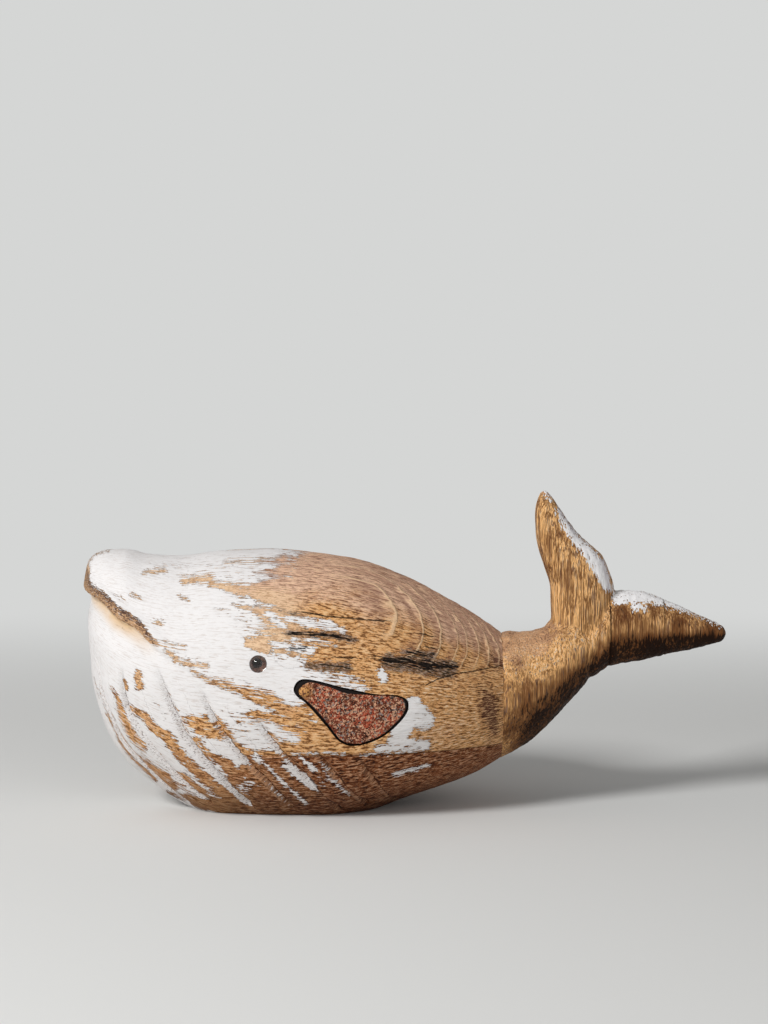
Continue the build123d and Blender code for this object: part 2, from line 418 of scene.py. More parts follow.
def beside(offset: Array, facing: Array, heading: Array) -> Array:
    """Which side of a line an offset lies on, seen from outside: above 0 is the left of its heading."""
    return np.einsum("ij,ij->i", offset, np.cross(facing, heading))


@dataclass
class Carving:
    """The knife work on the body: the lip and the hollow under it, throat pleats, growth rings and seam."""

    hull: Hull
    lip: tuple = (
        (-158.9, 0, 111.5), (-158, -9, 111), (-156.2, -15.5, 109.5), (-154, -21.2, 107.6),
        (-150.7, -26.4, 106.1), (-146.8, -30.8, 104.2), (-143.3, -34.5, 101.3), (-139.1, -38.3, 97.9),
        (-130.9, -42.8, 94.6), (-126.4, -45.5, 91.2), (-118.6, -49.9, 84.1), (-106.9, -54.1, 76.6),
        (-95.4, -56.8, 70.8), (-82.9, -58.6, 66.3), (-70.6, -59.8, 60.2), (-55.5, -60.3, 53.6),
        (-38.5, -59.4, 44.9), (-30, -58, 39.5),
    )
    pleats: tuple = (
        ((-154.5, 84), (-151, 72), (-148.5, 59), (-143, 46), (-139, 37), (-130, 26), (-118, 13), (-108, 4)),
        ((-137, 78), (-136.5, 64), (-135, 54), (-128, 42), (-117, 27), (-110, 19), (-95, 6)),
        ((-122, 80), (-119, 74), (-115, 65), (-106, 43), (-101, 36), (-89, 21), (-76, 6)),
        ((-101, 72), (-95, 59), (-90, 49), (-77, 31), (-68, 21), (-56, 6)),
        ((-77, 57), (-70, 50), (-60, 36), (-49, 24), (-33, 4)),
        ((-46, 40), (-41, 33), (-35, 25), (-19, 6)), ((-25, 35), (-23, 32), (-16, 21), (-5, 5)),
    )
    ridge_height: float = 1.7
    cove_depth: float = 3.0
    throat_setback: float = 1.3
    pleat_depth: float = 2.3
    pleat_half_width: float = 1.8
    ring_radii: tuple = (98.6, 100.3, 103.0, 105.5, 107.8)
    ring_spacing: float = 2.45
    inner_rings: int = 39
    outer_rings: int = 11
    pith: tuple[float, float, float] = (10.0, 39.0, 20.0)
    pith_drift: tuple[float, float] = (0.1, -0.2)
    ring_height: float = 0.5
    glue_height: float = 34.0
    chin_share: float = 0.16
    tilt_share: float = 0.35
    far: float = 99.0

    def lip_field(self, points: Array, normals: Array) -> tuple[Array, Array]:
        """Where points lie by the lip.

        A carved wall's own tilt counts for a third, and across the chin only the height counts, so that the
        hollow's lower wall isn't taken for the lip.

        Args:
            points: Places in millimetres.
            normals: Outward directions there.

        Returns:
            The height above the lip's lower edge over the surface, and the share along it from the chin.
        """
        facing = folded(normals, points) * np.array([1.0, 1.0, self.tilt_share])
        distance, along, offset, heading = line_distance(folded(points, points), np.array(self.lip))
        above = np.where(along < self.chin_share, offset[:, 2], beside(offset, facing, heading))
        return np.where(above > 0, distance, -distance), along

    def pleat_field(self, points: Array, normals: Array) -> tuple[Array, Array]:
        """Where points lie by the nearest throat pleat.

        Args:
            points: Places in millimetres.
            normals: Outward directions there.

        Returns:
            Signed distance to the pleat's bottom line, and how deep the pleat is there from 0 to 1.
        """
        left = folded(points, points)
        facing = folded(normals, points)
        best = np.full(len(points), self.far)
        signed = np.full(len(points), self.far)
        depth = np.zeros(len(points))
        for line in self.pleats:
            table = np.array(line, float)
            lifted = self.hull.flank(table[:, 0], table[:, 1])
            distance, along, offset, heading = line_distance(left, lifted)
            closer = distance < best
            best = np.where(closer, distance, best)
            ahead = beside(offset, facing, heading) > 0
            signed = np.where(closer, np.where(ahead, distance, -distance), signed)
            length = lengths(np.diff(lifted, axis=0)).sum()
            depth = np.where(closer, ramp(along * length, 0.0, 0.28 * length), depth)
        return signed, depth * ramp(np.abs(points[:, 1]), 4.0, 14.0)

    def ring_field(self, points: Array) -> Array:
        """The growth-ring number: the distance from the leaning pith line, read against the ring radii."""
        ahead = points[:, 0] - self.pith[0]
        across = points[:, 1] - self.pith[1] - self.pith_drift[0] * ahead
        up = points[:, 2] - self.pith[2] - self.pith_drift[1] * ahead
        inner = self.ring_radii[0] - self.ring_spacing * np.arange(self.inner_rings, 0, -1)
        outer = self.ring_radii[-1] + self.ring_spacing * np.arange(1, self.outer_rings + 1)
        radii = np.concatenate([inner, self.ring_radii, outer])
        wobble = 0.2 * layered_noise(points, (60.0, 14.0, 14.0), 5)
        return np.interp(np.hypot(across, up) + wobble, radii, np.arange(len(radii)))

    def ring_zone(self, points: Array) -> Array:
        """Where weather has raised the growth rings: the upper rear of the back, from 0 to 1."""
        z = points[:, 2]
        height = np.where(points[:, 1] < 0, ramp(z, 66.0, 84.0), ramp(z, 45.0, 75.0))
        lean = points[:, 0] + 0.8 * np.clip(z - 78.0, 0.0, 40.0)
        last = self.inner_rings + len(self.ring_radii) - 1.0
        faint = 1.0 - 0.6 * ramp(self.ring_field(points), last + 0.4, last + 2.0)
        return ramp(lean, -6.0, 8.0) * height * faint

    def relief(self, points: Array, normals: Array) -> Array:
        """How far the finished surface stands off the plain hull, in millimetres.

        Args:
            points: Places on the hull.
            normals: The hull's outward directions there.

        Returns:
            One offset per place: ridge, hollow, pleats, rings, seam and tool marks added up.
        """
        x, z = points[:, 0], points[:, 2]
        above, along = self.lip_field(points, normals)
        front = fade(along, 0.30, 0.52)
        ridge = self.ridge_height * (0.25 + 0.75 * front) * fade(along, 0.8, 1.0)
        ridge = ridge * (1.0 - 0.9 * fade(along, 0.0, self.chin_share))
        ridge = ridge * ramp(above, -0.7, 0.9) * fade(above, 2.6, 8.5)
        front_face = ramp(-x, 138.0, 152.0) * ramp(z, 58.0, 76.0)
        setback = self.throat_setback * ramp(-above, 4.0, 12.0) * front_face
        reach = 8.0 + 8.0 * fade(along, 0.05, 0.35)
        hollow = (0.22 + 0.78 * front) * fade(along, 0.75, 1.0)
        hollow = hollow * fade(above, -1.7, 0.5) * fade(-above, 3.0, 17.0)
        hollow = self.cove_depth * hollow * np.clip(reach / 12.0, 0.7, 1.3)
        hollow = hollow * (1.0 - 0.25 * fade(along, 0.0, self.chin_share))
        signed, depth = self.pleat_field(points, normals)
        cut = np.clip(1.0 - np.abs(signed) / self.pleat_half_width, 0.0, 1.0)
        under_lip = np.maximum(ramp(-above, 3.0, 9.0), ramp(x, -52.0, -44.0))
        pleat = depth * (self.pleat_depth * cut + 0.7 * hill(signed, 0.0, 5.5))
        number = self.ring_field(points)
        near = np.abs(number - np.round(number))
        ring = self.ring_height * self.ring_zone(points) * (hill(near, 0.0, 0.17) - 0.35)
        seam = 0.3 * hill(z, self.glue_height, 0.7) * ramp(x, -110.0, -40.0)
        facets = 0.35 * layered_noise(points, (26.0, 17.0, 17.0), 11)
        furrows = layered_noise(points, (22.0, 2.6, 2.6), 12)
        rough = 0.06 + 0.16 * ramp(x, -60.0, -30.0) * ramp(z, 30.0, 38.0)
        pits = rough * furrows + 0.10 * layered_noise(points, (5.0, 2.2, 2.2), 13)
        joint = 0.2 * ramp(x, 44.5, 47.0)
        return ridge - hollow - setback - pleat * under_lip + ring - seam + facets + pits - joint


@dataclass
class PaintMap:
    """Where white paint is left on the body, where the wood is bare and where it is charred.

    Strokes are points of (x, z, radius) on the left flank. The right flank has the same areas, moved
    and bent by noise, as two sides painted and sanded by one hand would have.
    """

    carving: Carving
    far: float = 9.0
    painted_area: tuple = (
        (-53, 150), (-53, 126), (-59, 123), (-60, 119), (-66, 112), (-69, 109), (-64, 105), (-67, 102),
        (-67, 92), (-75, 89), (-69, 85), (-51, 83), (-45, 77), (-29, 74), (-20, 70), (-20, 65), (-37, 67),
        (-48, 61), (-46, 50), (-54, 41), (-66, 34), (-80, 20), (-88, 8), (-92, -20), (-220, -20), (-220, 150),
    )
    bare: tuple = (
        ((-156, 118, 1.5), (-157, 121, 1.1), (-154, 125, 0.8), (-150, 126, 0.7), (-147, 127, 0.5)),
        ((-124, 89.5, 0.6), (-119, 88, 0.9), (-105, 86, 0.3)),
        ((-115, 85, 1.2), (-110, 80, 1.7), (-95, 77, 1.2)),
        ((-102, 75, 1.2), (-93, 70, 1.5), (-84, 68, 2), (-76, 64, 2.2), (-66, 60, 3), (-51, 54, 3.4)),
        ((-82, 67, 1.5), (-69, 65, 2), (-60, 62, 1.5)), ((-108, 115, 1.6), (-95, 116, 2)),
        ((-94, 114, 1.6), (-80, 111, 3.4), (-69, 111, 3.8), (-58, 111, 4.2)),
        ((-83, 106, 0.8), (-69, 102, 1.6), (-65, 99, 2)), ((-109, 108, 1.3), (-105, 107, 1.2)),
        ((-128, 118, 1.1), (-118, 119, 1.1)), ((-89, 123, 0.2), (-60, 124, 0.6)),
        ((-74, 119, 0.3), (-59, 120, 1)), ((-120, 97, 1.2), (-117, 96, 1.4)),
        ((-133, 109, 1), (-128, 107, 1)), ((-142, 109, 0.3), (-135, 106, 0.8)),
        ((-75, 88, 1.6), (-60, 87, 2)), ((-129, 72, 2.6), (-128, 66, 2.6)),
        ((-136, 68, 1.6), (-135, 65, 1.6)),
        ((-143, 64, 1.3), (-140, 60, 1.9), (-138, 54, 2.4), (-136, 47, 2.5), (-132, 40, 3), (-127, 35, 2.6)),
        (
            (-132, 55, 1.9), (-126, 52, 2.6), (-122, 46, 3.1), (-115, 41, 3.4), (-107, 30, 3.7),
            (-96, 20, 3.7), (-87, 13, 3.2),
        ),
        ((-106, 52, 1), (-96, 52, 1.3)), ((-103, 49, 1), (-89, 48, 1.2)),
        ((-99, 45, 1.3), (-88, 44, 1.6)),
        ((-100, 41, 1.6), (-94, 34, 2.4), (-86, 28, 2.6), (-82, 21, 2.6)),
        ((-81, 38, 2.1), (-70, 33, 3.6)), ((-76, 27, 3.6), (-61, 20, 5)),
        ((-69, 33, 3.1), (-51, 26, 4.6)), ((-74, 56, 1.6), (-55, 51, 2.3)),
        ((-69, 49, 1.3), (-51, 45, 1.9)), ((-58, 39, 1.6), (-32, 37, 2.1)),
        ((-51, 43, 1.9), (-30, 41, 2.1)), ((-47, 49, 2.1), (-37, 40, 2.6)),
        ((-150, 61, 0.9), (-146, 50, 1.1), (-141, 37, 1.3), (-133, 26, 1.6), (-123, 16, 1.9)),
        ((-143, 44, 0.9), (-136, 33, 1.3), (-125, 22, 1.6), (-114, 13, 2.1)),
        ((-70, 12, 4), (-40, 6, 6)), ((-117, 8, 2), (-103, 5, 3.6), (-86, 5, 5)),
        ((-108, 22, 1.4), (-100, 12, 2.4)), ((-153, 66, 0.3), (-150, 56, 0.6)),
        ((-131, 30, 0.4), (-124, 24, 0.8), (-116, 20, 0.6)),
        ((-122, 62, 0.2), (-118, 56, 0.6), (-115, 52, 0.3)),
    )
    white: tuple = (
        ((3, 59, 4.2), (8, 50, 5.6)), ((1, 52, 5.5), (-3, 45, 5)), ((-7, 41, 3), (9, 38, 3)),
        ((-14, 37.5, 2), (9, 36.5, 1.8)), ((-66, 101, 2.4), (-58, 95, 2.4)),
        ((-57, 99, 2.2), (-37, 96, 2.8)), ((-37, 96, 2), (-30, 93, 1.5)),
        ((-63, 88, 2.2), (-45, 85, 2.5)), ((-54, 89.5, 1.3), (-42, 89, 1.4), (-33, 86.5, 1)),
        ((-43, 73, 2), (-29, 71, 2.2)), ((-29, 69, 1.5), (-20, 67, 1.5)),
        ((-12, 75, 2), (-11, 71, 2.5)), ((-6, 23, 1.2), (5, 25.5, 1.7), (12, 27, 0.9)),
        ((-95, 28, 1), (-77, 8, 1.3)), ((-73, 33, 1.8), (-70, 31, 1.9)),
        ((-73, 36, 0.8), (-60, 20, 1.2), (-49, 8, 1.2)), ((-41, 27, 0.5), (-28, 12, 0.9)),
        ((-84, 51, 1.5), (-64, 47.5, 3.6), (-53, 43, 2.8)), ((-76, 42, 1.5), (-62, 40, 2.4)),
        ((-59, 35.4, 0.8), (-30, 35.2, 0.9)), ((-22, 34.9, 0.7), (11, 34.9, 0.7)),
        ((-58, 29, 2), (-45, 18, 2.5)), ((-51, 34, 1), (-45, 27, 2)),
    )
    char: tuple = (
        ((-65, 101, 0.7), (-60, 95, 0.9)), ((-61, 102.5, 0.9), (-50, 100.5, 0.6)),
        ((-57, 93, 1.6), (-37, 92, 2), (-25, 89, 1.8)), ((-55, 86, 0.9), (-48, 86, 0.9)),
        ((-48, 78, 2), (-29, 77, 3)), ((-9, 79, 4), (20, 74, 4.6)), ((-2, 83, 1.5), (12, 81, 2.5)),
    )
    black: tuple = (
        ((-56, 92.6, 0.7), (-37, 91.8, 0.9), (-27, 89.5, 0.8)), ((-55, 86, 0.6), (-48, 86, 0.6)),
        ((-15, 81, 1), (-3, 79, 1.8), (11, 76, 2.2), (24, 74.5, 1)),
        ((0, 82.5, 0.9), (11, 80.5, 1.4)),
    )
    stain: tuple = (
        ((37, 64, 4), (41, 50, 5), (43, 40, 3)), ((40, 76, 1.5), (46, 73, 3)),
    )
    lens: tuple = (
        ((14, 68, 0.8), (28, 69.5, 2), (44, 71, 2.5)), ((22, 65, 1.5), (42, 67, 3.5)),
    )
    cracks: tuple = (
        ((-50, 102), (-39, 100), (-26, 99), (-11, 97)), ((6, 91), (12, 89)), ((9, 85), (14, 83.4)),
        ((-35, 82), (-26, 81)), ((9, 67.5), (14, 70), (21, 71), (44, 72.5)),
        ((-56, 92.6), (-37, 91.8), (-27, 89.5)), ((-55, 86), (-48, 86)),
    )
    mixed: tuple = (
        ((-80, 52, 3), (-50, 46, 7)), ((-62, 28, 6), (-42, 24, 8)),
        ((-86, 30, 4), (-72, 14, 8)), ((-100, 49, 5), (-86, 46, 5)),
        ((-124, 24, 3), (-98, 9, 7)),
    )
    worn: tuple = (
        ((-125, 121, 3), (-95, 120, 6), (-62, 117, 9)),
        ((-92, 104, 4), (-66, 96, 7), (-40, 92, 7)),
        ((-108, 50, 7), (-80, 47, 9), (-52, 46, 9)),
        ((-98, 76, 4), (-70, 66, 6), (-50, 58, 5)), ((-46, 72, 4), (-24, 68, 4)),
        ((-140, 96, 3), (-118, 88, 4), (-106, 84, 4)),
        ((-140, 50, 4), (-120, 24, 6), (-100, 10, 6)), ((3, 56, -1), (9, 49, 2), (4, 38, 2)),
    )

    def flank_places(self, points: Array) -> Array:
        """Places (x, z) to read the strokes at: bent a little by noise, and more on the right flank."""
        bend = np.where(points[:, 1] < 0, 0.5, 6.0)
        shift = np.stack([layered_noise(points, 14.0, seed) for seed in (21, 24)], axis=-1)
        return points[:, [0, 2]] + bend[:, None] * shift

    def crack_field(self, places: Array) -> Array:
        """The signed distance to the nearest crack, positive above it, and cut off at the far distance."""
        cracks = np.full(len(places), self.far)
        for line in self.cracks:
            distance, _, offset, _ = line_distance(places, np.array(line, float))
            nearer = distance < np.abs(cracks)
            cracks = np.where(nearer, np.where(offset[:, 1] > 0, distance, -distance), cracks)
        return cracks

    def fields(self, points: Array, normals: Array) -> dict[str, Array]:
        """All painted and worn areas as values at points of the surface.

        Args:
            points: Places in millimetres.
            normals: The hull's outward directions there.

        Returns:
            Named values: paint is above 0 where it is left; lip_rise is the share of the lip's height; ring
            is the ring number; crack and pleat are signed distances in millimetres; all others, which are
            char, black, stain, weather, rough, tint, worn, sanded, lip, ring_zone and pleat_depth, are
            strengths from 0 to 1.
        """
        x, z = points[:, 0], points[:, 2]
        places = self.flank_places(points)
        above, along = self.carving.lip_field(points, normals)
        signed, depth = self.carving.pleat_field(points, normals)
        area = outline_depth(places, np.array(self.painted_area, float))
        paint = np.clip(area / 5.0, -2.0, 1.45)
        paint = paint * (1.0 - 0.75 * stroke_cover(places, self.mixed, 6.0))
        paint = paint - 2.1 * stroke_cover(places, self.bare, 3.8)
        paint = np.maximum(paint, 3.0 * stroke_cover(places, self.white, 4.8) - 1.8)
        past = ramp(x, -52.0, -44.0)
        low = np.maximum(ramp(-above, 8.0, 14.0), past) * depth
        belly = ramp(34.0 - z, 0.0, 6.0) * ramp(-x, 48.0, 66.0)
        crests = hill(signed, -0.4, 1.7) * low * ramp(-x, 25.0, 45.0)
        paint = paint + (1.5 + 0.9 * belly) * crests
        paint = paint - 1.3 * hill(signed, 1.7, 0.9) * low
        width = 2.0 + 3.0 * fade(along, 0.30, 0.42)
        width = width + 3.0 * fade(along, 0.02, 0.14)
        lip = np.clip(0.5 + (width - above) / 2.6, 0.0, 1.0) * np.clip(0.5 + (above + 0.8) / 1.4, 0.0, 1.0)
        lip = lip * fade(along, 0.38, 0.45)
        rough = 0.85 * ramp(x, -30.0, 0.0) * fade(z, 66.0, 74.0)
        # A cream band under the lip: partly the paint's own tint, partly painted shade of the lip's overhang.
        tint = fade(along, 0.28, 0.45) * ramp(-above, -0.5, 0.8)
        tint = tint * fade(-above, 1.5, 9.0)
        tilt = normals[:, 2] + 0.12 * ramp(x, 0.0, 40.0)
        weather = ramp(tilt, 0.50, 0.90) * ramp(x, -95.0, -55.0)
        lens = 0.45 * stroke_cover(places, self.lens, 4.0)
        return {
            "paint": paint - 2.6 * lip,
            "char": stroke_cover(places, self.char, 3.0),
            "black": stroke_cover(places, self.black, 2.2),
            "stain": np.maximum(stroke_cover(places, self.stain, 7.0), lens),
            "weather": weather,
            "rough": rough * ramp(z, 34.0, 36.0),
            "tint": tint,
            "worn": stroke_cover(places, self.worn, 8.0),
            "sanded": ramp(-x, 42.0, 62.0) * ramp(z, 62.0, 82.0),
            "lip": lip,
            "lip_rise": np.clip(above / width, -1.0, 2.0) - 0.4 * fade(along, 0.04, 0.14),
            "ring": self.carving.ring_field(points),
            "ring_zone": self.carving.ring_zone(points),
            "crack": self.crack_field(places),
            "pleat": np.clip(signed, -self.far, self.far),
            "pleat_depth": depth * np.maximum(ramp(-above, 4.0, 10.0), past),
        }


def object_from(name: str, points: Array, faces: list) -> Object:
    """A new object in the scene, from points in millimetres and faces of point numbers."""
    mesh = bpy.data.meshes.new(name)
    mesh.from_pydata((points.reshape(-1, 3) * MM).tolist(), [], faces)
    mesh.update()
    made = bpy.data.objects.new(name, mesh)
    bpy.context.scene.collection.objects.link(made)
    return made


def tube(name: str, rings: Array, first: Array, last: Array) -> Object:
    """A closed skin over rings of points, with a fan of triangles to an end point at both ends.

    Args:
        name: The object's name.
        rings: Points (rings, points in a ring, 3); each ring turns anticlockwise seen from the last end.
        first: The end point before the first ring.
        last: The end point after the last ring.

    Returns:
        The new object, faces outward.
    """
    count, around = rings.shape[:2]
    ring = np.arange(around)
    onward = (ring + 1) % around
    rows = np.arange(count - 1)[:, None] * around
    start = (rows + ring).ravel()
    step = (rows + onward).ravel()
    quads = np.stack([start, step, step + around, start + around], axis=1)
    base = (count - 1) * around
    near = np.stack([onward, ring, np.full(around, count * around)], axis=1)
    far = np.stack([base + ring, base + onward, np.full(around, count * around + 1)], axis=1)
    points = np.concatenate([rings.reshape(-1, 3), first[None, :], last[None, :]])
    return object_from(name, points, quads.tolist() + near.tolist() + far.tolist())


def box(name: str, low: tuple, high: tuple) -> Object:
    """A plain box between two corners in millimetres, used to cut blocks to length."""
    corners = np.array(list(product(*zip(low, high))), float)
    faces = [(0, 1, 3, 2), (4, 6, 7, 5), (0, 4, 5, 1), (2, 3, 7, 6), (0, 2, 6, 4), (1, 5, 7, 3)]
    return object_from(name, corners, faces)


def discard(made: Object) -> None:
    """Removes a helper object and its mesh."""
    mesh = made.data
    bpy.data.objects.remove(made)
    bpy.data.meshes.remove(mesh)


def baked_copy(made: Object, name: str) -> Object:
    """A new object whose mesh has the modifiers of another one worked in."""
    bpy.context.view_layer.update()
    graph = bpy.context.evaluated_depsgraph_get()
    mesh = bpy.data.meshes.new_from_object(made.evaluated_get(graph))
    mesh.name = name
    fresh = bpy.data.objects.new(name, mesh)
    bpy.context.scene.collection.objects.link(fresh)
    return fresh


def combined(base: Object, tool: Object, cut: Cut, name: str) -> Object:
    """The base cut by, or kept inside, a tool solid, as a new object.

    Args:
        base: A closed object.
        tool: A closed object; it is removed afterwards.
        cut: What the tool does to the base.
        name: The new object's name.

    Returns:
        The new object.
    """
    modifier = base.modifiers.new("cut", "BOOLEAN")
    modifier.operation = cut.value
    modifier.solver = "MANIFOLD"
    modifier.object = tool
    made = baked_copy(base, name)
    base.modifiers.clear()
    discard(tool)
    return made


def rows_of(source: Sockets, name: str) -> Array:
    """Three numbers of each item in one of a mesh's collections."""
    flat = np.zeros(len(source) * 3, np.float32)
    source.foreach_get(name, flat)
    return flat.reshape(-1, 3).astype(float)


def mesh_points(made: Object) -> Array:
    """The object's points in millimetres."""
    return rows_of(made.data.vertices, "co") / MM


def mesh_normals(made: Object) -> Array:
    """The object's own outward directions at its points."""
    return rows_of(made.data.vertex_normals, "vector")


def move_points(made: Object, points: Array) -> None:
    """Puts points in millimetres into the object's mesh."""
    made.data.vertices.foreach_set("co", (points * MM).astype(np.float32).ravel())
    made.data.update()


def write_fields(made: Object, fields: dict[str, Array]) -> None:
    """Writes named values, or places, at the points into the mesh, for the finish to read."""
    for name, values in fields.items():
        kind, slot = ("FLOAT", "value") if values.ndim == 1 else ("FLOAT_VECTOR", "vector")
        layer = made.data.attributes.new(name, kind, "POINT")
        layer.data.foreach_set(slot, values.astype(np.float32).ravel())


def show_piece(made: Object, finish: Material, slot: Slot, *nodes: str, edge: float) -> None:
    """Dresses a finished piece and ties it to the part.

    Args:
        made: The piece.
        finish: Its material.
        slot: The material slot that it stands for; not used.
        nodes: The CAD nodes that it replaces.
        edge: Faces that meet at more than this angle in degrees have a sharp edge.
    """
    made.data.materials.clear()
    made.data.materials.append(finish)
    made.data.polygons.foreach_set("use_smooth", np.ones(len(made.data.polygons), bool))
    made.data.set_sharp_from_angle(angle=math.radians(edge))
    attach(made, BODY)
    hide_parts(*nodes)
    made.data.calc_loop_triangles()
    LOG.info("%s: %d triangles", made.name, len(made.data.loop_triangles))


def tone(red: float, green: float, blue: float) -> tuple[float, float, float, float]:
    """A colour from screen values of 0 to 255, as the linear light that shaders mix."""
    parts = [value / 255.0 for value in (red, green, blue)]
    linear = [part / 12.92 if part <= 0.04045 else ((part + 0.055) / 1.055) ** 2.4 for part in parts]
    return (*linear, 1.0)


class Pen:
    """Adds nodes to one shader tree. Each drawing method returns an output socket."""

    # The mix node names its numbers, vectors and colours alike, so its colours are taken by place.
    UNDER_COLOUR = 6
    OVER_COLOUR = 7
    MIXED_COLOUR = 2

    def __init__(self, tree: NodeTree) -> None:
        """Starts on a tree."""
        self.tree = tree

    def put(self, kind: str, **settings: object) -> Node:
        """A new node with its settings."""
        node = self.tree.nodes.new(kind)
        for name, value in settings.items():
            setattr(node, name, value)
        return node

    def feed(self, socket: Socket, value: Feed) -> None:
        """Joins an output to the socket, or sets a plain value on it."""
        if isinstance(value, Socket):
            self.tree.links.new(value, socket)
        else:
            socket.default_value = value

    def fill(self, node: Node, **inputs: Feed) -> Sockets:
        """Feeds a node's inputs, named with low lines for their spaces, and returns its outputs."""
        for name, value in inputs.items():
            self.feed(node.inputs[name.replace("_", " ")], value)
        return node.outputs

    def calc(self, operation: str, *values: Feed) -> Socket:
        """A plain operation on one, two or three numbers."""
        node = self.put("ShaderNodeMath", operation=operation)
        for socket, value in zip(node.inputs, values):
            self.feed(socket, value)
        return node.outputs[0]

    def times(self, first: Feed, second: Feed) -> Socket:
        """The product of two numbers."""
        return self.calc("MULTIPLY", first, second)

    def scaled(self, value: Feed, factor: Feed, added: Feed) -> Socket:
        """A number times a factor, and another one added."""
        return self.calc("MULTIPLY_ADD", value, factor, added)

    def apart(self, first: Feed, second: Feed) -> Socket:
        """How far two numbers lie from each other."""
        return self.calc("ABSOLUTE", self.calc("SUBTRACT", first, second))

    def roughen(self, value: Feed, noise: Feed, strength: Feed) -> Socket:
        """A number pushed up and down by noise about the noise's middle."""
        return self.scaled(self.calc("SUBTRACT", noise, 0.5), strength, value)

    def step(self, value: Feed, low: float, high: float) -> Socket:
        """A smooth step from 0 at low to 1 at high; low above high turns it round."""
        node = self.put("ShaderNodeMapRange", interpolation_type="SMOOTHSTEP")
        self.fill(node, Value=value, From_Min=min(low, high), From_Max=max(low, high))
        return self.fill(node, To_Min=float(low > high), To_Max=float(low < high))["Result"]

    def lay(self, under: Feed, over: Feed, share: Feed, strength: float = 1.0) -> Socket:
        """One colour over another.

        Args:
            under: The lower colour.
            over: The upper colour.
            share: How far the upper one covers.
            strength: What the share is multiplied by.

        Returns:
            The mixed colour.
        """
        node = self.put("ShaderNodeMix", data_type="RGBA")
        self.feed(node.inputs[0], share if strength == 1.0 else self.times(share, strength))
        self.feed(node.inputs[self.UNDER_COLOUR], under)
        self.feed(node.inputs[self.OVER_COLOUR], over)
        return node.outputs[self.MIXED_COLOUR]

    def read(self, name: str, output: str = "Fac") -> Socket:
        """A named value of the mesh, or a named place of it if the output is Vector."""
        return self.put("ShaderNodeAttribute", attribute_name=name).outputs[output]

    def millimetres(self) -> Socket:
        """The object's own coordinates in millimetres."""
        return self.grown(self.put("ShaderNodeTexCoord").outputs["Object"], 1.0 / MM)

    def grown(self, place: Feed, factor: float) -> Socket:
        """The place times one factor."""
        node = self.put("ShaderNodeVectorMath", operation="SCALE")
        self.feed(node.inputs[0], place)
        return self.fill(node, Scale=factor)[0]

    def stretched(self, place: Feed, cell: Feed) -> Socket:
        """The place divided by a cell size along each axis."""
        node = self.put("ShaderNodeVectorMath", operation="DIVIDE")
        self.feed(node.inputs[0], place)
        self.feed(node.inputs[1], cell)
        return node.outputs[0]

    def axes(self, place: Feed) -> Sockets:
        """The place's X, Y and Z."""
        return self.fill(self.put("ShaderNodeSeparateXYZ"), Vector=place)

    def noise(self, place: Feed, detail: float, rough: float = 0.5, bend: float = 0.0) -> Socket:
        """Cloudy noise from 0 to 1 with one cell per unit; bend is how far it is bent by itself."""
        node = self.put("ShaderNodeTexNoise")
        self.fill(node, Vector=place, Scale=1.0, Detail=detail, Roughness=rough, Distortion=bend)
        return node.outputs["Fac"]

    def bump(self, height: Feed, distance: float, strength: float = 1.0) -> Socket:
        """A direction tilted by a height map; distance is the height of 1 in millimetres."""
        node = self.put("ShaderNodeBump")
        return self.fill(node, Strength=strength, Distance=distance * MM, Height=height)["Normal"]


class Effect:
    """Base of the shared effects: each is one node group, built when it is first asked for."""

    name = "effect"
    vectors_in: tuple = ()
    floats_in: tuple = ()
    floats_out: tuple = ()

    def tree(self) -> NodeTree:
        """The effect's node group."""
        found = bpy.data.node_groups.get(self.name)
        if found:
            return found
        made = bpy.data.node_groups.new(self.name, "ShaderNodeTree")
        for label in self.vectors_in:
            made.interface.new_socket(name=label, in_out="INPUT", socket_type="NodeSocketVector")
        for label in self.floats_in:
            made.interface.new_socket(name=label, in_out="INPUT", socket_type="NodeSocketFloat")
        for label in self.floats_out:
            made.interface.new_socket(name=label, in_out="OUTPUT", socket_type="NodeSocketFloat")
        pen = Pen(made)
        source = pen.put("NodeGroupInput").outputs
        pen.fill(pen.put("NodeGroupOutput"), **self.draw(pen, source))
        return made

    def use(self, pen: Pen, **inputs: Feed) -> Sockets:
        """The effect's outputs in a tree, with its own inputs there."""
        return pen.fill(pen.put("ShaderNodeGroup", node_tree=self.tree()), **inputs)

    def draw(self, pen: Pen, source: Sockets) -> dict[str, Socket]:
        """Writes the group's nodes.

        Args:
            pen: The group's pen.
            source: The group's inputs.

        Returns:
            What goes to each of the group's outputs.
        """
        raise NotImplementedError


class Fibre(Effect):
    """Long wood fibres: cloudy noise drawn out along the grain, in a broad and a fine layer."""

    name = "wood fibre"
    vectors_in = ("Place", "Cell")
    floats_out = ("Broad", "Fine")
    finer: float = 3.1

    def draw(self, pen: Pen, source: Sockets) -> dict[str, Socket]:
        """Broad is noise in whole cells, and fine in about thirds of a cell."""
        place = pen.stretched(source["Place"], source["Cell"])
        fine = pen.noise(pen.grown(place, self.finer), 2.0, 0.6)
        return {"Broad": pen.noise(place, 3.0, 0.55, 0.3), "Fine": fine}


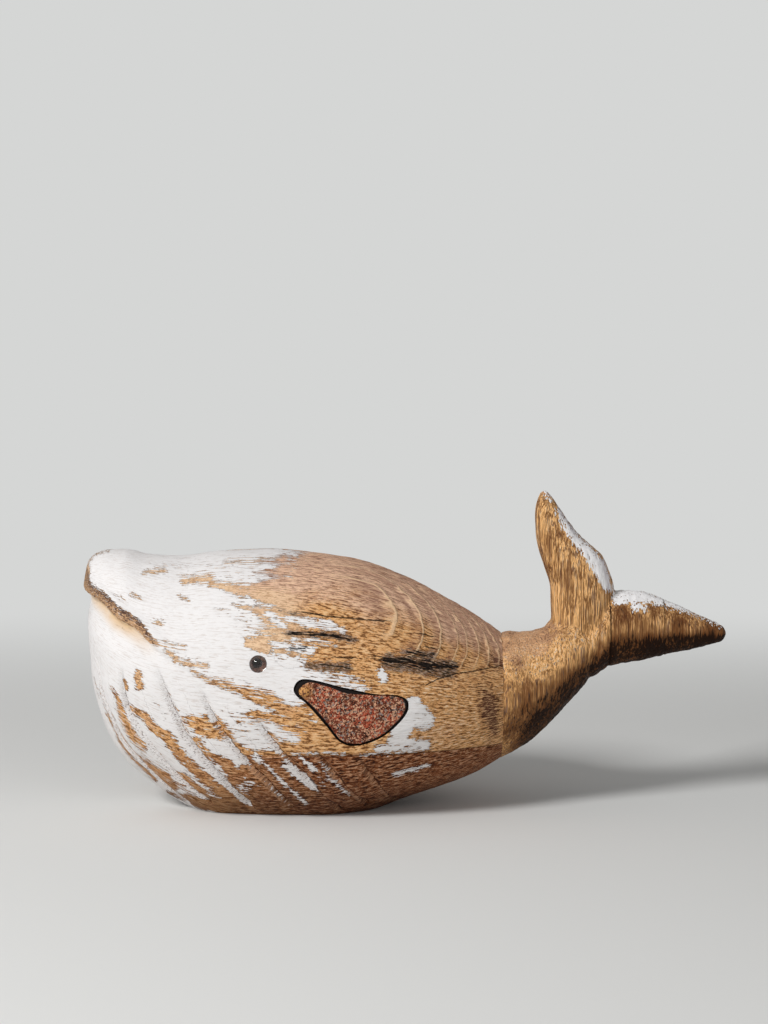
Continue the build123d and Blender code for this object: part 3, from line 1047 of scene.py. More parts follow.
class WornPaint(Effect):
    """Paint that has flaked: its cover, roughened by streaks, fibres and grit, cut off sharply."""

    name = "worn paint"
    floats_in = ("Cover", "Streak", "Broad", "Fine", "Grit", "Hairline", "Worn")
    floats_out = ("Mask", "Film", "Brink")
    strengths = {"Streak": 2.0, "Broad": 2.6, "Fine": 2.4, "Grit": 0.6}

    def draw(self, pen: Pen, source: Sockets) -> dict[str, Socket]:
        """The mask is 1 where cover plus noise is above 0; film has a soft edge, brink lies just outside."""
        total = source["Cover"]
        for name, strength in self.strengths.items():
            total = pen.roughen(total, source[name], strength)
        hairs = pen.roughen(-0.25, source["Hairline"], 7.0)
        total = pen.scaled(hairs, source["Worn"], total)
        return {
            "Mask": pen.step(total, -0.05, 0.05),
            "Film": pen.step(total, -0.16, 0.16),
            "Brink": pen.step(total, -0.42, -0.12),
        }


class WoodTone(Effect):
    """The lights and darks of rough wood: where fibres are torn up they catch light, pores stay dark."""

    name = "wood tone"
    floats_in = ("Broad", "Fine", "Hair")
    floats_out = ("Dark", "Light", "Glint", "Height")
    strengths = {"Broad": 0.45, "Fine": 0.80, "Hair": 0.45}

    def draw(self, pen: Pen, source: Sockets) -> dict[str, Socket]:
        """One mixed value is read low for the darks, high for the lights and highest for the glints."""
        value = -0.35
        for name, strength in self.strengths.items():
            value = pen.scaled(source[name], strength, value)
        return {
            "Dark": pen.step(value, 0.50, 0.40),
            "Light": pen.step(value, 0.51, 0.61),
            "Glint": pen.step(value, 0.58, 0.66),
            "Height": value,
        }


class GrowthRings(Effect):
    """Growth rings from a ring number: a thin raised pale line at each whole number."""

    name = "growth rings"
    floats_in = ("Number", "Zone", "Wobble")
    floats_out = ("Line", "Shade")

    def draw(self, pen: Pen, source: Sockets) -> dict[str, Socket]:
        """The line is high near whole numbers, and the shade lies just above each line."""
        number = pen.roughen(source["Number"], source["Wobble"], 0.14)
        part = pen.calc("FRACT", number)
        gap = pen.apart(pen.calc("FRACT", pen.calc("ADD", number, 0.5)), 0.5)
        beside_line = pen.times(pen.step(part, 0.50, 0.20), pen.step(part, 0.08, 0.18))
        return {
            "Line": pen.times(pen.step(gap, 0.12, 0.04), source["Zone"]),
            "Shade": pen.times(beside_line, source["Zone"]),
        }


class Grit(Effect):
    """Fine grit: a pattern of cells for grains, with a dot in a few of them."""

    name = "grit"
    vectors_in = ("Place",)
    floats_out = ("Grain", "Dot", "Tint")

    def draw(self, pen: Pen, source: Sockets) -> dict[str, Socket]:
        """Grain is the distance from a cell's middle, tint a value per cell, and dots lie in rare cells."""
        cells = pen.fill(pen.put("ShaderNodeTexVoronoi"), Vector=source["Place"], Scale=1.0)
        tint, pick, _ = pen.fill(pen.put("ShaderNodeSeparateColor"), Color=cells["Color"])
        rare = pen.step(pick, 0.12, 0.08)
        dot = pen.times(rare, pen.step(cells["Distance"], 0.30, 0.20))
        return {"Grain": cells["Distance"], "Dot": dot, "Tint": tint}


class Finish:
    """Base of the finishes: a material with one Principled shader."""

    name = "finish"

    def material(self) -> Material:
        """The finish as a material, built when it is first asked for."""
        found = bpy.data.materials.get(self.name)
        if found:
            return found
        made = bpy.data.materials.new(self.name)
        made.use_nodes = True
        shader = next(node for node in made.node_tree.nodes if node.type == "BSDF_PRINCIPLED")
        self.draw(Pen(made.node_tree), shader)
        return made

    def draw(self, pen: Pen, shader: Node) -> None:
        """Writes the nodes that feed the shader.

        Args:
            pen: The material's pen.
            shader: Its Principled shader.
        """
        raise NotImplementedError


@dataclass(frozen=True)
class Weave:
    """The noises and measures that the layers of painted wood share."""

    fibre: Sockets
    short: Sockets
    streak: Sockets
    grit: Sockets
    specks: Sockets
    tones: Sockets
    rings: Sockets
    wide: Socket
    x: Socket
    height: Socket


@dataclass(frozen=True)
class PaintedWood(Finish):
    """The body: rough honey-coloured wood under worn white paint, weathered, ringed and charred in places."""

    name = "painted wood"
    honey: tuple = tone(224, 166, 108)
    honey_dark: tuple = tone(86, 42, 10)
    honey_light: tuple = tone(244, 204, 154)
    glint: tuple = tone(250, 226, 196)
    sanded: tuple = tone(242, 208, 172)
    sanded_dark: tuple = tone(186, 138, 98)
    weathered: tuple = tone(236, 194, 166)
    weathered_dark: tuple = tone(144, 102, 84)
    ring_line: tuple = tone(246, 208, 166)
    belly: tuple = tone(134, 76, 40)
    belly_dark: tuple = tone(50, 20, 6)
    belly_light: tuple = tone(218, 170, 132)
    front: tuple = tone(204, 148, 98)
    front_dark: tuple = tone(104, 60, 28)
    soot: tuple = tone(14, 9, 7)
    ash: tuple = tone(98, 84, 76)
    pale_ash: tuple = tone(160, 144, 134)
    plum: tuple = tone(92, 54, 46)
    lens: tuple = tone(160, 112, 76)
    white: tuple = tone(235, 232, 231)
    dull_white: tuple = tone(214, 206, 201)
    cream_and_lip_shade: tuple = tone(216, 182, 138)
    lip_tan: tuple = tone(204, 162, 122)
    lip_dark: tuple = tone(96, 70, 58)
    lip_light: tuple = tone(232, 212, 196)
    fibre_cell: tuple = (16.0, 2.2, 1.0)
    short_cell: tuple = (4.0, 1.0, 1.0)
    streak_cell: tuple = (34.0, 1.7, 1.0)
    grit_cell: tuple = (1.1, 0.6, 1.0)
    speck_cell: tuple = (2.4, 1.0, 1.0)
    cloud_cell: tuple = (30.0, 14.0, 14.0)
    glue_height: float = 34.0
    gloss: float = 0.12
    relief: float = 0.6

    def weave(self, pen: Pen) -> Weave:
        """The shared noises, most of which run with the surface's own grain."""
        place = pen.millimetres()
        grain = pen.read("grain", "Vector")
        fibre = Fibre().use(pen, Place=grain, Cell=self.fibre_cell)
        short = Fibre().use(pen, Place=grain, Cell=self.short_cell)
        number, zone = pen.read("ring"), pen.read("ring_zone")
        axes = pen.axes(place)
        return Weave(
            fibre=fibre,
            short=short,
            streak=Fibre().use(pen, Place=grain, Cell=self.streak_cell),
            grit=Grit().use(pen, Place=pen.stretched(grain, self.grit_cell)),
            specks=Grit().use(pen, Place=pen.stretched(grain, self.speck_cell)),
            tones=WoodTone().use(pen, Broad=fibre["Fine"], Fine=short["Broad"], Hair=short["Fine"]),
            rings=GrowthRings().use(pen, Number=number, Zone=zone, Wobble=short["Broad"]),
            wide=pen.noise(pen.stretched(place, self.cloud_cell), 2.0),
            x=axes["X"],
            height=axes["Z"],
        )

    def bare_wood(self, pen: Pen, at: Weave) -> Socket:
        """The wood itself: honey-coloured or sanded, greyed by weather, with painted shade low down toward
        the floor.

        Args:
            pen: The tree's pen.
            at: The shared noises.

        Returns:
            The wood's colour.
        """
        tones = at.tones
        wood = pen.lay(self.honey, self.honey_dark, tones["Dark"], 0.85)
        wood = pen.lay(wood, self.honey_light, tones["Light"], 0.75)
        plain = pen.lay(self.sanded, self.sanded_dark, tones["Dark"], 0.6)
        wood = pen.lay(wood, plain, pen.read("sanded"), 0.85)
        long = pen.scaled(at.streak["Fine"], 0.9, pen.scaled(tones["Height"], 0.5, -0.2))
        grey = pen.lay(self.weathered, self.weathered_dark, pen.step(long, 0.52, 0.42), 0.85)
        grey = pen.lay(grey, self.ring_line, pen.step(long, 0.53, 0.62), 0.6)
        patchy = pen.roughen(pen.read("weather"), at.wide, 1.6)
        patchy = pen.roughen(patchy, tones["Height"], 1.0)
        wood = pen.lay(wood, grey, pen.step(patchy, 0.10, 0.85), 0.9)
        low = pen.lay(self.belly, self.belly_dark, tones["Dark"])
        low = pen.lay(low, self.belly_light, tones["Light"], 0.75)
        near = pen.lay(self.front, self.front_dark, tones["Dark"], 0.8)
        near = pen.lay(near, self.honey_light, tones["Light"], 0.5)
        low = pen.lay(near, low, pen.step(pen.roughen(at.x, at.wide, 70.0), -102.0, -46.0))
        wood = pen.lay(wood, low, pen.step(pen.roughen(at.height, at.wide, 3.0), 35.5, 33.4))
        # Painted shade: the wood darkens toward the floor, where the body curves under.
        return pen.lay(wood, self.belly_dark, pen.step(at.height, 24.0, 2.0), 0.5)

    def stained(self, pen: Pen, at: Weave, wood: Socket) -> Socket:
        """The wood with the plum stain and the brown lens beside it, both broken up by the grain."""
        flecks = pen.calc("SUBTRACT", at.tones["Dark"], at.tones["Light"])
        stain = pen.roughen(pen.scaled(flecks, 0.55, pen.read("stain")), at.wide, 1.8)
        stain = pen.times(stain, pen.step(pen.read("stain"), 0.02, 0.30))
        wood = pen.lay(wood, self.lens, pen.step(stain, 0.15, 0.55), 0.45)
        purple = pen.lay(self.plum, self.belly_dark, at.tones["Dark"], 0.8)
        return pen.lay(wood, purple, pen.step(stain, 0.65, 0.95), 0.85)

    def lip_wood(self, pen: Pen, at: Weave) -> Socket:
        """The worn lip: tan at its lower edge, grey-brown with pale chips at its upper edge."""
        rise = pen.roughen(pen.read("lip_rise"), at.short["Broad"], 3.0)
        rise = pen.roughen(rise, at.grit["Tint"], 0.9)
        worn = pen.lay(self.lip_tan, self.lip_dark, pen.step(rise, 0.50, 0.80))
        worn = pen.lay(worn, self.lip_dark, at.tones["Dark"], 0.6)
        return pen.lay(worn, self.lip_light, at.tones["Glint"], 0.9)

    def carved_wood(self, pen: Pen, at: Weave) -> Socket:
        """The wood with its growth rings, torn fibres, lip, and painted highlights on the pleats' lit sides.
        """
        wood = self.stained(pen, at, self.bare_wood(pen, at))
        # Painted shade just above each raised ring line.
        wood = pen.lay(wood, self.weathered_dark, at.rings["Shade"], 0.45)
        wood = pen.lay(wood, self.ring_line, at.rings["Line"], 0.85)
        shine = pen.times(pen.read("rough"), pen.step(pen.read("stain"), 0.5, 0.1))
        wood = pen.lay(wood, self.glint, pen.times(shine, at.tones["Glint"]))
        wood = pen.lay(wood, self.lip_wood(pen, at), pen.step(pen.read("lip"), 0.2, 0.6))
        # Painted highlight along the lit side of each throat pleat.
        painted_crest_highlight = pen.step(pen.apart(pen.read("pleat"), -1.8), 1.1, 0.3)
        painted_crest_highlight = pen.times(pen.times(painted_crest_highlight, pen.read("pleat_depth")), pen.step(at.wide, 0.38, 0.60))
        return pen.lay(wood, self.belly_light, painted_crest_highlight, 0.55)

    def torn(self, pen: Pen, name: str, *noises: tuple[Socket, float]) -> Socket:
        """A named area of the mesh torn by noises, each with its strength, and kept near itself."""
        value = pen.read(name)
        for noise, strength in noises:
            value = pen.roughen(value, noise, strength)
        return pen.times(value, pen.step(pen.read(name), 0.02, 0.25))

    def charred(self, pen: Pen, at: Weave, wood: Socket, sooty: Socket) -> Socket:
        """The wood under ash and soot, by how sooty it is."""
        flecks = pen.lay(self.ash, self.pale_ash, pen.step(at.grit["Tint"], 0.58, 0.82))
        flecks = pen.lay(flecks, self.soot, pen.step(at.grit["Tint"], 0.30, 0.16))
        wood = pen.lay(wood, flecks, pen.step(sooty, 0.45, 0.80), 0.75)
        return pen.lay(wood, self.soot, pen.step(sooty, 1.00, 1.25), 0.9)

    def coat(self, pen: Pen, at: Weave) -> Socket:
        """The paint's colour: white, dirtier in scratches and a little darker toward the bottom, cream under
        the lip, partly painted shade of its overhang, with specks.
        """
        scratch = pen.scaled(at.streak["Fine"], 0.6, pen.times(at.short["Broad"], 0.4))
        coat = pen.lay(self.white, self.dull_white, pen.step(scratch, 0.49, 0.39), 0.8)
        # A little darker toward the bottom.
        coat = pen.lay(coat, self.dull_white, pen.step(at.height, 60.0, 16.0), 0.15)
        # The cream under the lip is partly a tint of the paint and partly painted shade of the lip's
        # overhang.
        coat = pen.lay(coat, self.cream_and_lip_shade, pen.times(pen.read("tint"), pen.step(at.wide, 0.15, 0.5)))
        dots = pen.times(at.specks["Dot"], pen.scaled(pen.read("worn"), 0.8, 0.1))
        dots = pen.times(dots, pen.step(pen.read("tint"), 0.3, 0.1))
        return pen.lay(coat, self.lip_dark, dots, 0.65)

    def marked(self, pen: Pen, at: Weave, colour: Socket, crack: Socket) -> Socket:
        """The dark marks over wood and paint, scorched strokes, cracks and glue line, with painted shade in
        the pleat bottoms and inside pockets and sockets.

        Args:
            pen: The tree's pen.
            at: The shared noises.
            colour: The colour below.
            crack: Where the cracks are.

        Returns:
            The marked colour.
        """
        black = self.torn(pen, "black", (at.fibre["Fine"], 3.4), (at.streak["Fine"], 2.2))
        colour = pen.lay(colour, self.soot, pen.step(black, 0.55, 0.75), 0.95)
        colour = pen.lay(colour, self.soot, crack, 0.9)
        # Painted shade along the bottom of each throat pleat.
        painted_groove_shade = pen.apart(pen.roughen(pen.read("pleat"), at.fibre["Fine"], 1.5), 0.7)
        painted_groove_shade = pen.times(pen.step(painted_groove_shade, 0.95, 0.35), pen.read("pleat_depth"))
        painted_groove_shade = pen.times(painted_groove_shade, pen.step(at.short["Broad"], 0.36, 0.50))
        colour = pen.lay(colour, self.belly_dark, painted_groove_shade, 0.9)
        ticks = pen.step(pen.apart(pen.read("pleat"), -0.9), 2.4, 1.2)
        ticks = pen.times(pen.times(ticks, pen.read("pleat_depth")), pen.step(at.short["Fine"], 0.45, 0.38))
        colour = pen.lay(colour, self.lip_dark, ticks, 0.8)
        seam = pen.step(pen.apart(at.height, self.glue_height), 0.36, 0.12)
        colour = pen.lay(colour, self.belly_dark, pen.times(seam, pen.step(at.x, -66.0, -50.0)), 0.7)
        # Painted shade: the insides of pockets and sockets are laid near black.
        return pen.lay(colour, self.soot, pen.step(pen.read("inner"), 0.10, 0.22))

    def draw(self, pen: Pen, shader: Node) -> None:
        """Soot lies over the carved wood, worn paint over the soot, and dark marks and painted shade over
        all.
        """
        at = self.weave(pen)
        sooty = self.torn(pen, "char", (at.fibre["Fine"], 2.8), (at.short["Broad"], 1.6))
        wood = self.charred(pen, at, self.carved_wood(pen, at), sooty)
        paint = WornPaint().use(
            pen,
            Cover=pen.scaled(pen.step(sooty, 0.6, 1.1), -0.7, pen.read("paint")),
            Streak=at.streak["Broad"],
            Broad=at.fibre["Fine"],
            Fine=at.short["Broad"],
            Grit=at.grit["Tint"],
            Hairline=at.streak["Fine"],
            Worn=pen.read("worn"),
        )
        brink = pen.times(paint["Brink"], pen.step(at.short["Fine"], 0.52, 0.44))
        wood = pen.lay(wood, self.belly_dark, brink, 0.75)
        crack = pen.roughen(pen.read("crack"), at.short["Broad"], 1.4)
        crack = pen.step(pen.calc("ABSOLUTE", crack), 0.36, 0.12)
        colour = pen.lay(wood, self.coat(pen, at), paint["Mask"])
        surface = pen.scaled(at.rings["Line"], 0.45, pen.times(at.tones["Height"], 1.5))
        surface = pen.scaled(crack, -1.2, surface)
        surface = pen.times(surface, pen.scaled(paint["Mask"], -0.62, 1.0))
        pen.fill(
            shader,
            Base_Color=self.marked(pen, at, colour, crack),
            Roughness=pen.scaled(paint["Mask"], 0.08, 0.60),
            Specular_IOR_Level=self.gloss,
            Normal=pen.bump(pen.scaled(paint["Film"], 0.8, surface), self.relief),
        )


@dataclass(frozen=True)
class TailWood(Finish):
    """The tail blocks: golden wood with dark upright furrows, painted shade on the underside and paint on the
    edges.
    """

    name = "tail wood"
    gold: tuple = tone(244, 188, 124)
    gold_dark: tuple = tone(88, 44, 12)
    gold_light: tuple = tone(246, 208, 158)
    glint: tuple = tone(240, 222, 202)
    under: tuple = tone(26, 9, 2)
    shade: tuple = tone(104, 58, 26)
    white: tuple = tone(238, 236, 236)
    shaded_white: tuple = tone(206, 196, 202)
    weathered: tuple = tone(204, 160, 132)
    fibre_cell: tuple = (2.6, 2.6, 70.0)
    short_cell: tuple = (0.9, 0.9, 16.0)
    grit_cell: tuple = (0.7, 0.7, 1.2)
    cloud_cell: tuple = (9.0, 9.0, 14.0)
    wear: float = 0.35
    gloss: float = 0.1
    relief: float = 0.5

    def golden(self, pen: Pen, fibre: Sockets, tones: Sockets, wide: Socket) -> Socket:
        """The gold, darkened in the furrows, lined near the raised fluke's foot and greyed by weather.

        Args:
            pen: The tree's pen.
            fibre: The long fibres.
            tones: The wood's lights and darks.
            wide: Broad cloudy noise.

        Returns:
            The wood's colour.
        """
        wood = pen.lay(self.gold, self.gold_dark, tones["Dark"], 0.64)
        wood = pen.lay(wood, self.gold_light, tones["Light"], 0.7)
        furrow = pen.roughen(pen.read("furrow"), tones["Height"], 2.0)
        wood = pen.lay(wood, self.gold_dark, pen.step(furrow, -0.22, -0.60), 0.45)
        # Random darker blotches, in the reddish brown that the painted shade also uses.
        wood = pen.lay(wood, self.shade, pen.step(wide, 0.52, 0.70), 0.4)
        height = pen.axes(pen.millimetres())["Z"]
        line = pen.times(pen.step(pen.apart(fibre["Broad"], 0.5), 0.055, 0.015), pen.step(height, 80.0, 94.0))
        wood = pen.lay(wood, self.gold_dark, line, 0.7)
        weather = pen.roughen(pen.read("weather"), wide, 1.2)
        wood = pen.lay(wood, self.weathered, pen.step(weather, 0.1, 0.9), 0.5)
        return pen.lay(wood, self.glint, pen.times(tones["Glint"], pen.read("rough")))

    def draw(self, pen: Pen, shader: Node) -> None:
        """Painted shade on the underside lies over the golden wood, paint over both, and the glue gaps over
        all.
        """
        place = pen.millimetres()
        fibre = Fibre().use(pen, Place=place, Cell=self.fibre_cell)
        short = Fibre().use(pen, Place=place, Cell=self.short_cell)
        grit = Grit().use(pen, Place=pen.stretched(place, self.grit_cell))
        wide = pen.noise(pen.stretched(place, self.cloud_cell), 2.0)
        tones = WoodTone().use(pen, Broad=fibre["Fine"], Fine=short["Broad"], Hair=short["Fine"])
        wood = self.golden(pen, fibre, tones, wide)
        # Painted shade: a reddish brown and then near black where the tail faces down, low on the rear blocks
        # and low by the body joint.
        dark = pen.roughen(pen.read("dark"), tones["Height"], 1.8)
        dark = pen.roughen(pen.roughen(dark, wide, 1.1), fibre["Fine"], 1.2)
        wood = pen.lay(wood, self.shade, pen.step(dark, 0.05, 0.45), 0.85)
        wood = pen.lay(wood, self.under, pen.step(dark, 0.50, 1.08), 0.97)
        paint = WornPaint().use(
            pen,
            Cover=pen.read("paint"),
            Streak=fibre["Broad"],
            Broad=fibre["Fine"],
            Fine=short["Broad"],
            Grit=grit["Tint"],
            Hairline=fibre["Fine"],
            Worn=self.wear,
        )
        # Painted shade: white paint on faces turned to the rear is laid grey.
        colour = pen.lay(wood, pen.lay(self.white, self.shaded_white, pen.read("shaded_white")), paint["Mask"])
        surface = pen.times(pen.times(tones["Height"], 1.8), pen.scaled(paint["Mask"], -0.7, 1.0))
        pen.fill(
            shader,
            Base_Color=pen.lay(colour, self.under, pen.step(pen.read("gap"), 0.45, 0.15)),
            Roughness=pen.scaled(paint["Mask"], 0.15, 0.50),
            Specular_IOR_Level=self.gloss,
            Normal=pen.bump(pen.scaled(paint["Film"], 0.9, surface), self.relief),
        )


@dataclass(frozen=True)
class RustedIron(Finish):
    """The fins: a crust of rust grains in red, tan, grey and black inside a smooth black rim, widened at the
    upper front by painted shadow.
    """

    name = "rusted iron"
    red: tuple = tone(176, 84, 58)
    tan: tuple = tone(216, 164, 132)
    grey: tuple = tone(150, 132, 124)
    black: tuple = tone(22, 14, 12)
    ochre: tuple = tone(196, 134, 78)
    brown: tuple = tone(118, 64, 44)
    coarse_cell: tuple = (1.0, 1.0, 1.0)
    fine_cell: tuple = (0.55, 0.55, 0.55)
    cloud_cell: tuple = (7.0, 7.0, 7.0)
    gloss: float = 0.2
    relief: float = 0.45

    def draw(self, pen: Pen, shader: Node) -> None:
        """Each grain takes its colour from its own cell value; the middle is redder and the rim, with its
        painted shadow, black.
        """
        place = pen.millimetres()
        coarse = Grit().use(pen, Place=pen.stretched(place, self.coarse_cell))
        fine = Grit().use(pen, Place=pen.stretched(place, self.fine_cell))
        cloud = pen.noise(pen.stretched(place, self.cloud_cell), 2.0)
        colour = pen.lay(self.brown, self.red, pen.step(cloud, 0.40, 0.60))
        colour = pen.lay(colour, self.tan, pen.step(coarse["Tint"], 0.60, 0.66))
        colour = pen.lay(colour, self.grey, pen.step(coarse["Tint"], 0.84, 0.88))
        colour = pen.lay(colour, self.black, pen.step(fine["Tint"], 0.74, 0.82), 0.85)
        colour = pen.lay(colour, self.tan, pen.step(fine["Tint"], 0.16, 0.10), 0.8)
        # The rim's black is partly the iron's edge and partly painted shadow of the pocket's wall at the
        # upper front.
        edge = pen.roughen(pen.read("rim"), cloud, 0.6)
        edge = pen.scaled(pen.step(cloud, 0.55, 0.68), -0.55, edge)
        edge = pen.roughen(edge, coarse["Tint"], 0.4)
        ochre = pen.times(pen.read("nail_stain"), pen.step(coarse["Tint"], 0.20, 0.40))
        colour = pen.lay(colour, self.ochre, ochre, 0.8)
        lumps = pen.calc("ADD", coarse["Grain"], fine["Grain"])
        pen.fill(
            shader,
            Base_Color=pen.lay(colour, self.black, pen.step(edge, 0.35, 0.60)),
            Roughness=pen.scaled(pen.read("rim"), -0.15, 0.85),
            Specular_IOR_Level=self.gloss,
            Normal=pen.bump(pen.times(lumps, pen.step(edge, 0.60, 0.35)), self.relief),
        )


@dataclass(frozen=True)
class NailIron(Finish):
    """The nail heads: ochre rust with darker pits."""

    name = "nail iron"
    ochre: tuple = tone(206, 148, 84)
    brown: tuple = tone(112, 66, 38)
    pit_cell: tuple = (0.6, 0.6, 0.6)
    relief: float = 0.3

    def draw(self, pen: Pen, shader: Node) -> None:
        """Pits are darker than the crust between them."""
        grit = Grit().use(pen, Place=pen.stretched(pen.millimetres(), self.pit_cell))
        pen.fill(
            shader,
            Base_Color=pen.lay(self.ochre, self.brown, pen.step(grit["Tint"], 0.55, 0.80)),
            Roughness=pen.scaled(grit["Tint"], 0.2, 0.6),
            Normal=pen.bump(grit["Grain"], self.relief),
        )


@dataclass(frozen=True)
class EyeGlass(Finish):
    """Clear polished glass with the faintest ripple."""

    name = "eye glass"
    clear: tuple = tone(246, 240, 236)
    refraction: float = 1.5
    ripple_cell: tuple = (2.5, 2.5, 2.5)
    ripple_height: float = 0.02

    def draw(self, pen: Pen, shader: Node) -> None:
        """Plain transmission, with a very low ripple in the normal."""
        ripple = pen.noise(pen.stretched(pen.millimetres(), self.ripple_cell), 1.0)
        pen.fill(
            shader,
            Base_Color=self.clear,
            Transmission_Weight=1.0,
            Roughness=0.03,
            IOR=self.refraction,
            Normal=pen.bump(ripple, self.ripple_height, 0.5),
        )


@dataclass(frozen=True)
class EyeEnamel(Finish):
    """The enamel behind each glass: a black pupil on a dark brown ring.

    The pupils' centres are given in millimetres, left then right.
    """

    name = "eye enamel"
    pupils: tuple = ((0.0, 0.0, 0.0), (0.0, 0.0, 0.0))
    pupil_radius: float = 1.45
    brown: tuple = tone(128, 84, 64)
    rim_brown: tuple = tone(84, 54, 42)
    black: tuple = tone(6, 5, 5)
    fleck_cell: tuple = (0.5, 0.5, 0.5)

    def draw(self, pen: Pen, shader: Node) -> None:
        """The colour goes by the distance from the nearer pupil's centre, with fine flecks in the ring."""
        place = pen.millimetres()
        gaps = []
        for centre in self.pupils:
            node = pen.put("ShaderNodeVectorMath", operation="DISTANCE")
            pen.feed(node.inputs[0], place)
            pen.feed(node.inputs[1], centre)
            gaps.append(node.outputs["Value"])
        gap = pen.calc("MINIMUM", *gaps)
        fleck = pen.noise(pen.stretched(place, self.fleck_cell), 2.0)
        ring = pen.lay(self.rim_brown, self.brown, pen.step(fleck, 0.4, 0.6))
        ring = pen.lay(ring, self.rim_brown, pen.step(gap, 2.9, 3.8))
        pupil = pen.step(gap, self.pupil_radius + 0.25, self.pupil_radius - 0.1)
        pen.fill(shader, Base_Color=pen.lay(ring, self.black, pupil), Roughness=0.3)


@dataclass(frozen=True)
class PlainWood(Finish):
    """Unfinished turned wood of the hidden dowels."""

    name = "dowel wood"
    pale: tuple = tone(205, 172, 126)
    brown: tuple = tone(160, 118, 74)
    fibre_cell: tuple = (9.0, 0.9, 0.9)

    def draw(self, pen: Pen, shader: Node) -> None:
        """Fibres along the dowel."""
        fibre = Fibre().use(pen, Place=pen.millimetres(), Cell=self.fibre_cell)
        colour = pen.lay(self.brown, self.pale, fibre["Broad"])
        pen.fill(shader, Base_Color=colour, Roughness=0.7, Normal=pen.bump(fibre["Fine"], 0.1, 0.8))


@dataclass(frozen=True)
class StemWire(Finish):
    """Dull steel wire of the eye stems."""

    name = "stem wire"
    steel: tuple = tone(150, 146, 140)
    dull: tuple = tone(92, 84, 78)
    cloud_cell: tuple = (1.5, 1.5, 1.5)

    def draw(self, pen: Pen, shader: Node) -> None:
        """Cloudy tarnish over steel."""
        cloud = pen.noise(pen.stretched(pen.millimetres(), self.cloud_cell), 3.0)
        colour = pen.lay(self.dull, self.steel, pen.step(cloud, 0.4, 0.6))
        pen.fill(shader, Base_Color=colour, Roughness=pen.scaled(cloud, 0.3, 0.3), Metallic=0.9)


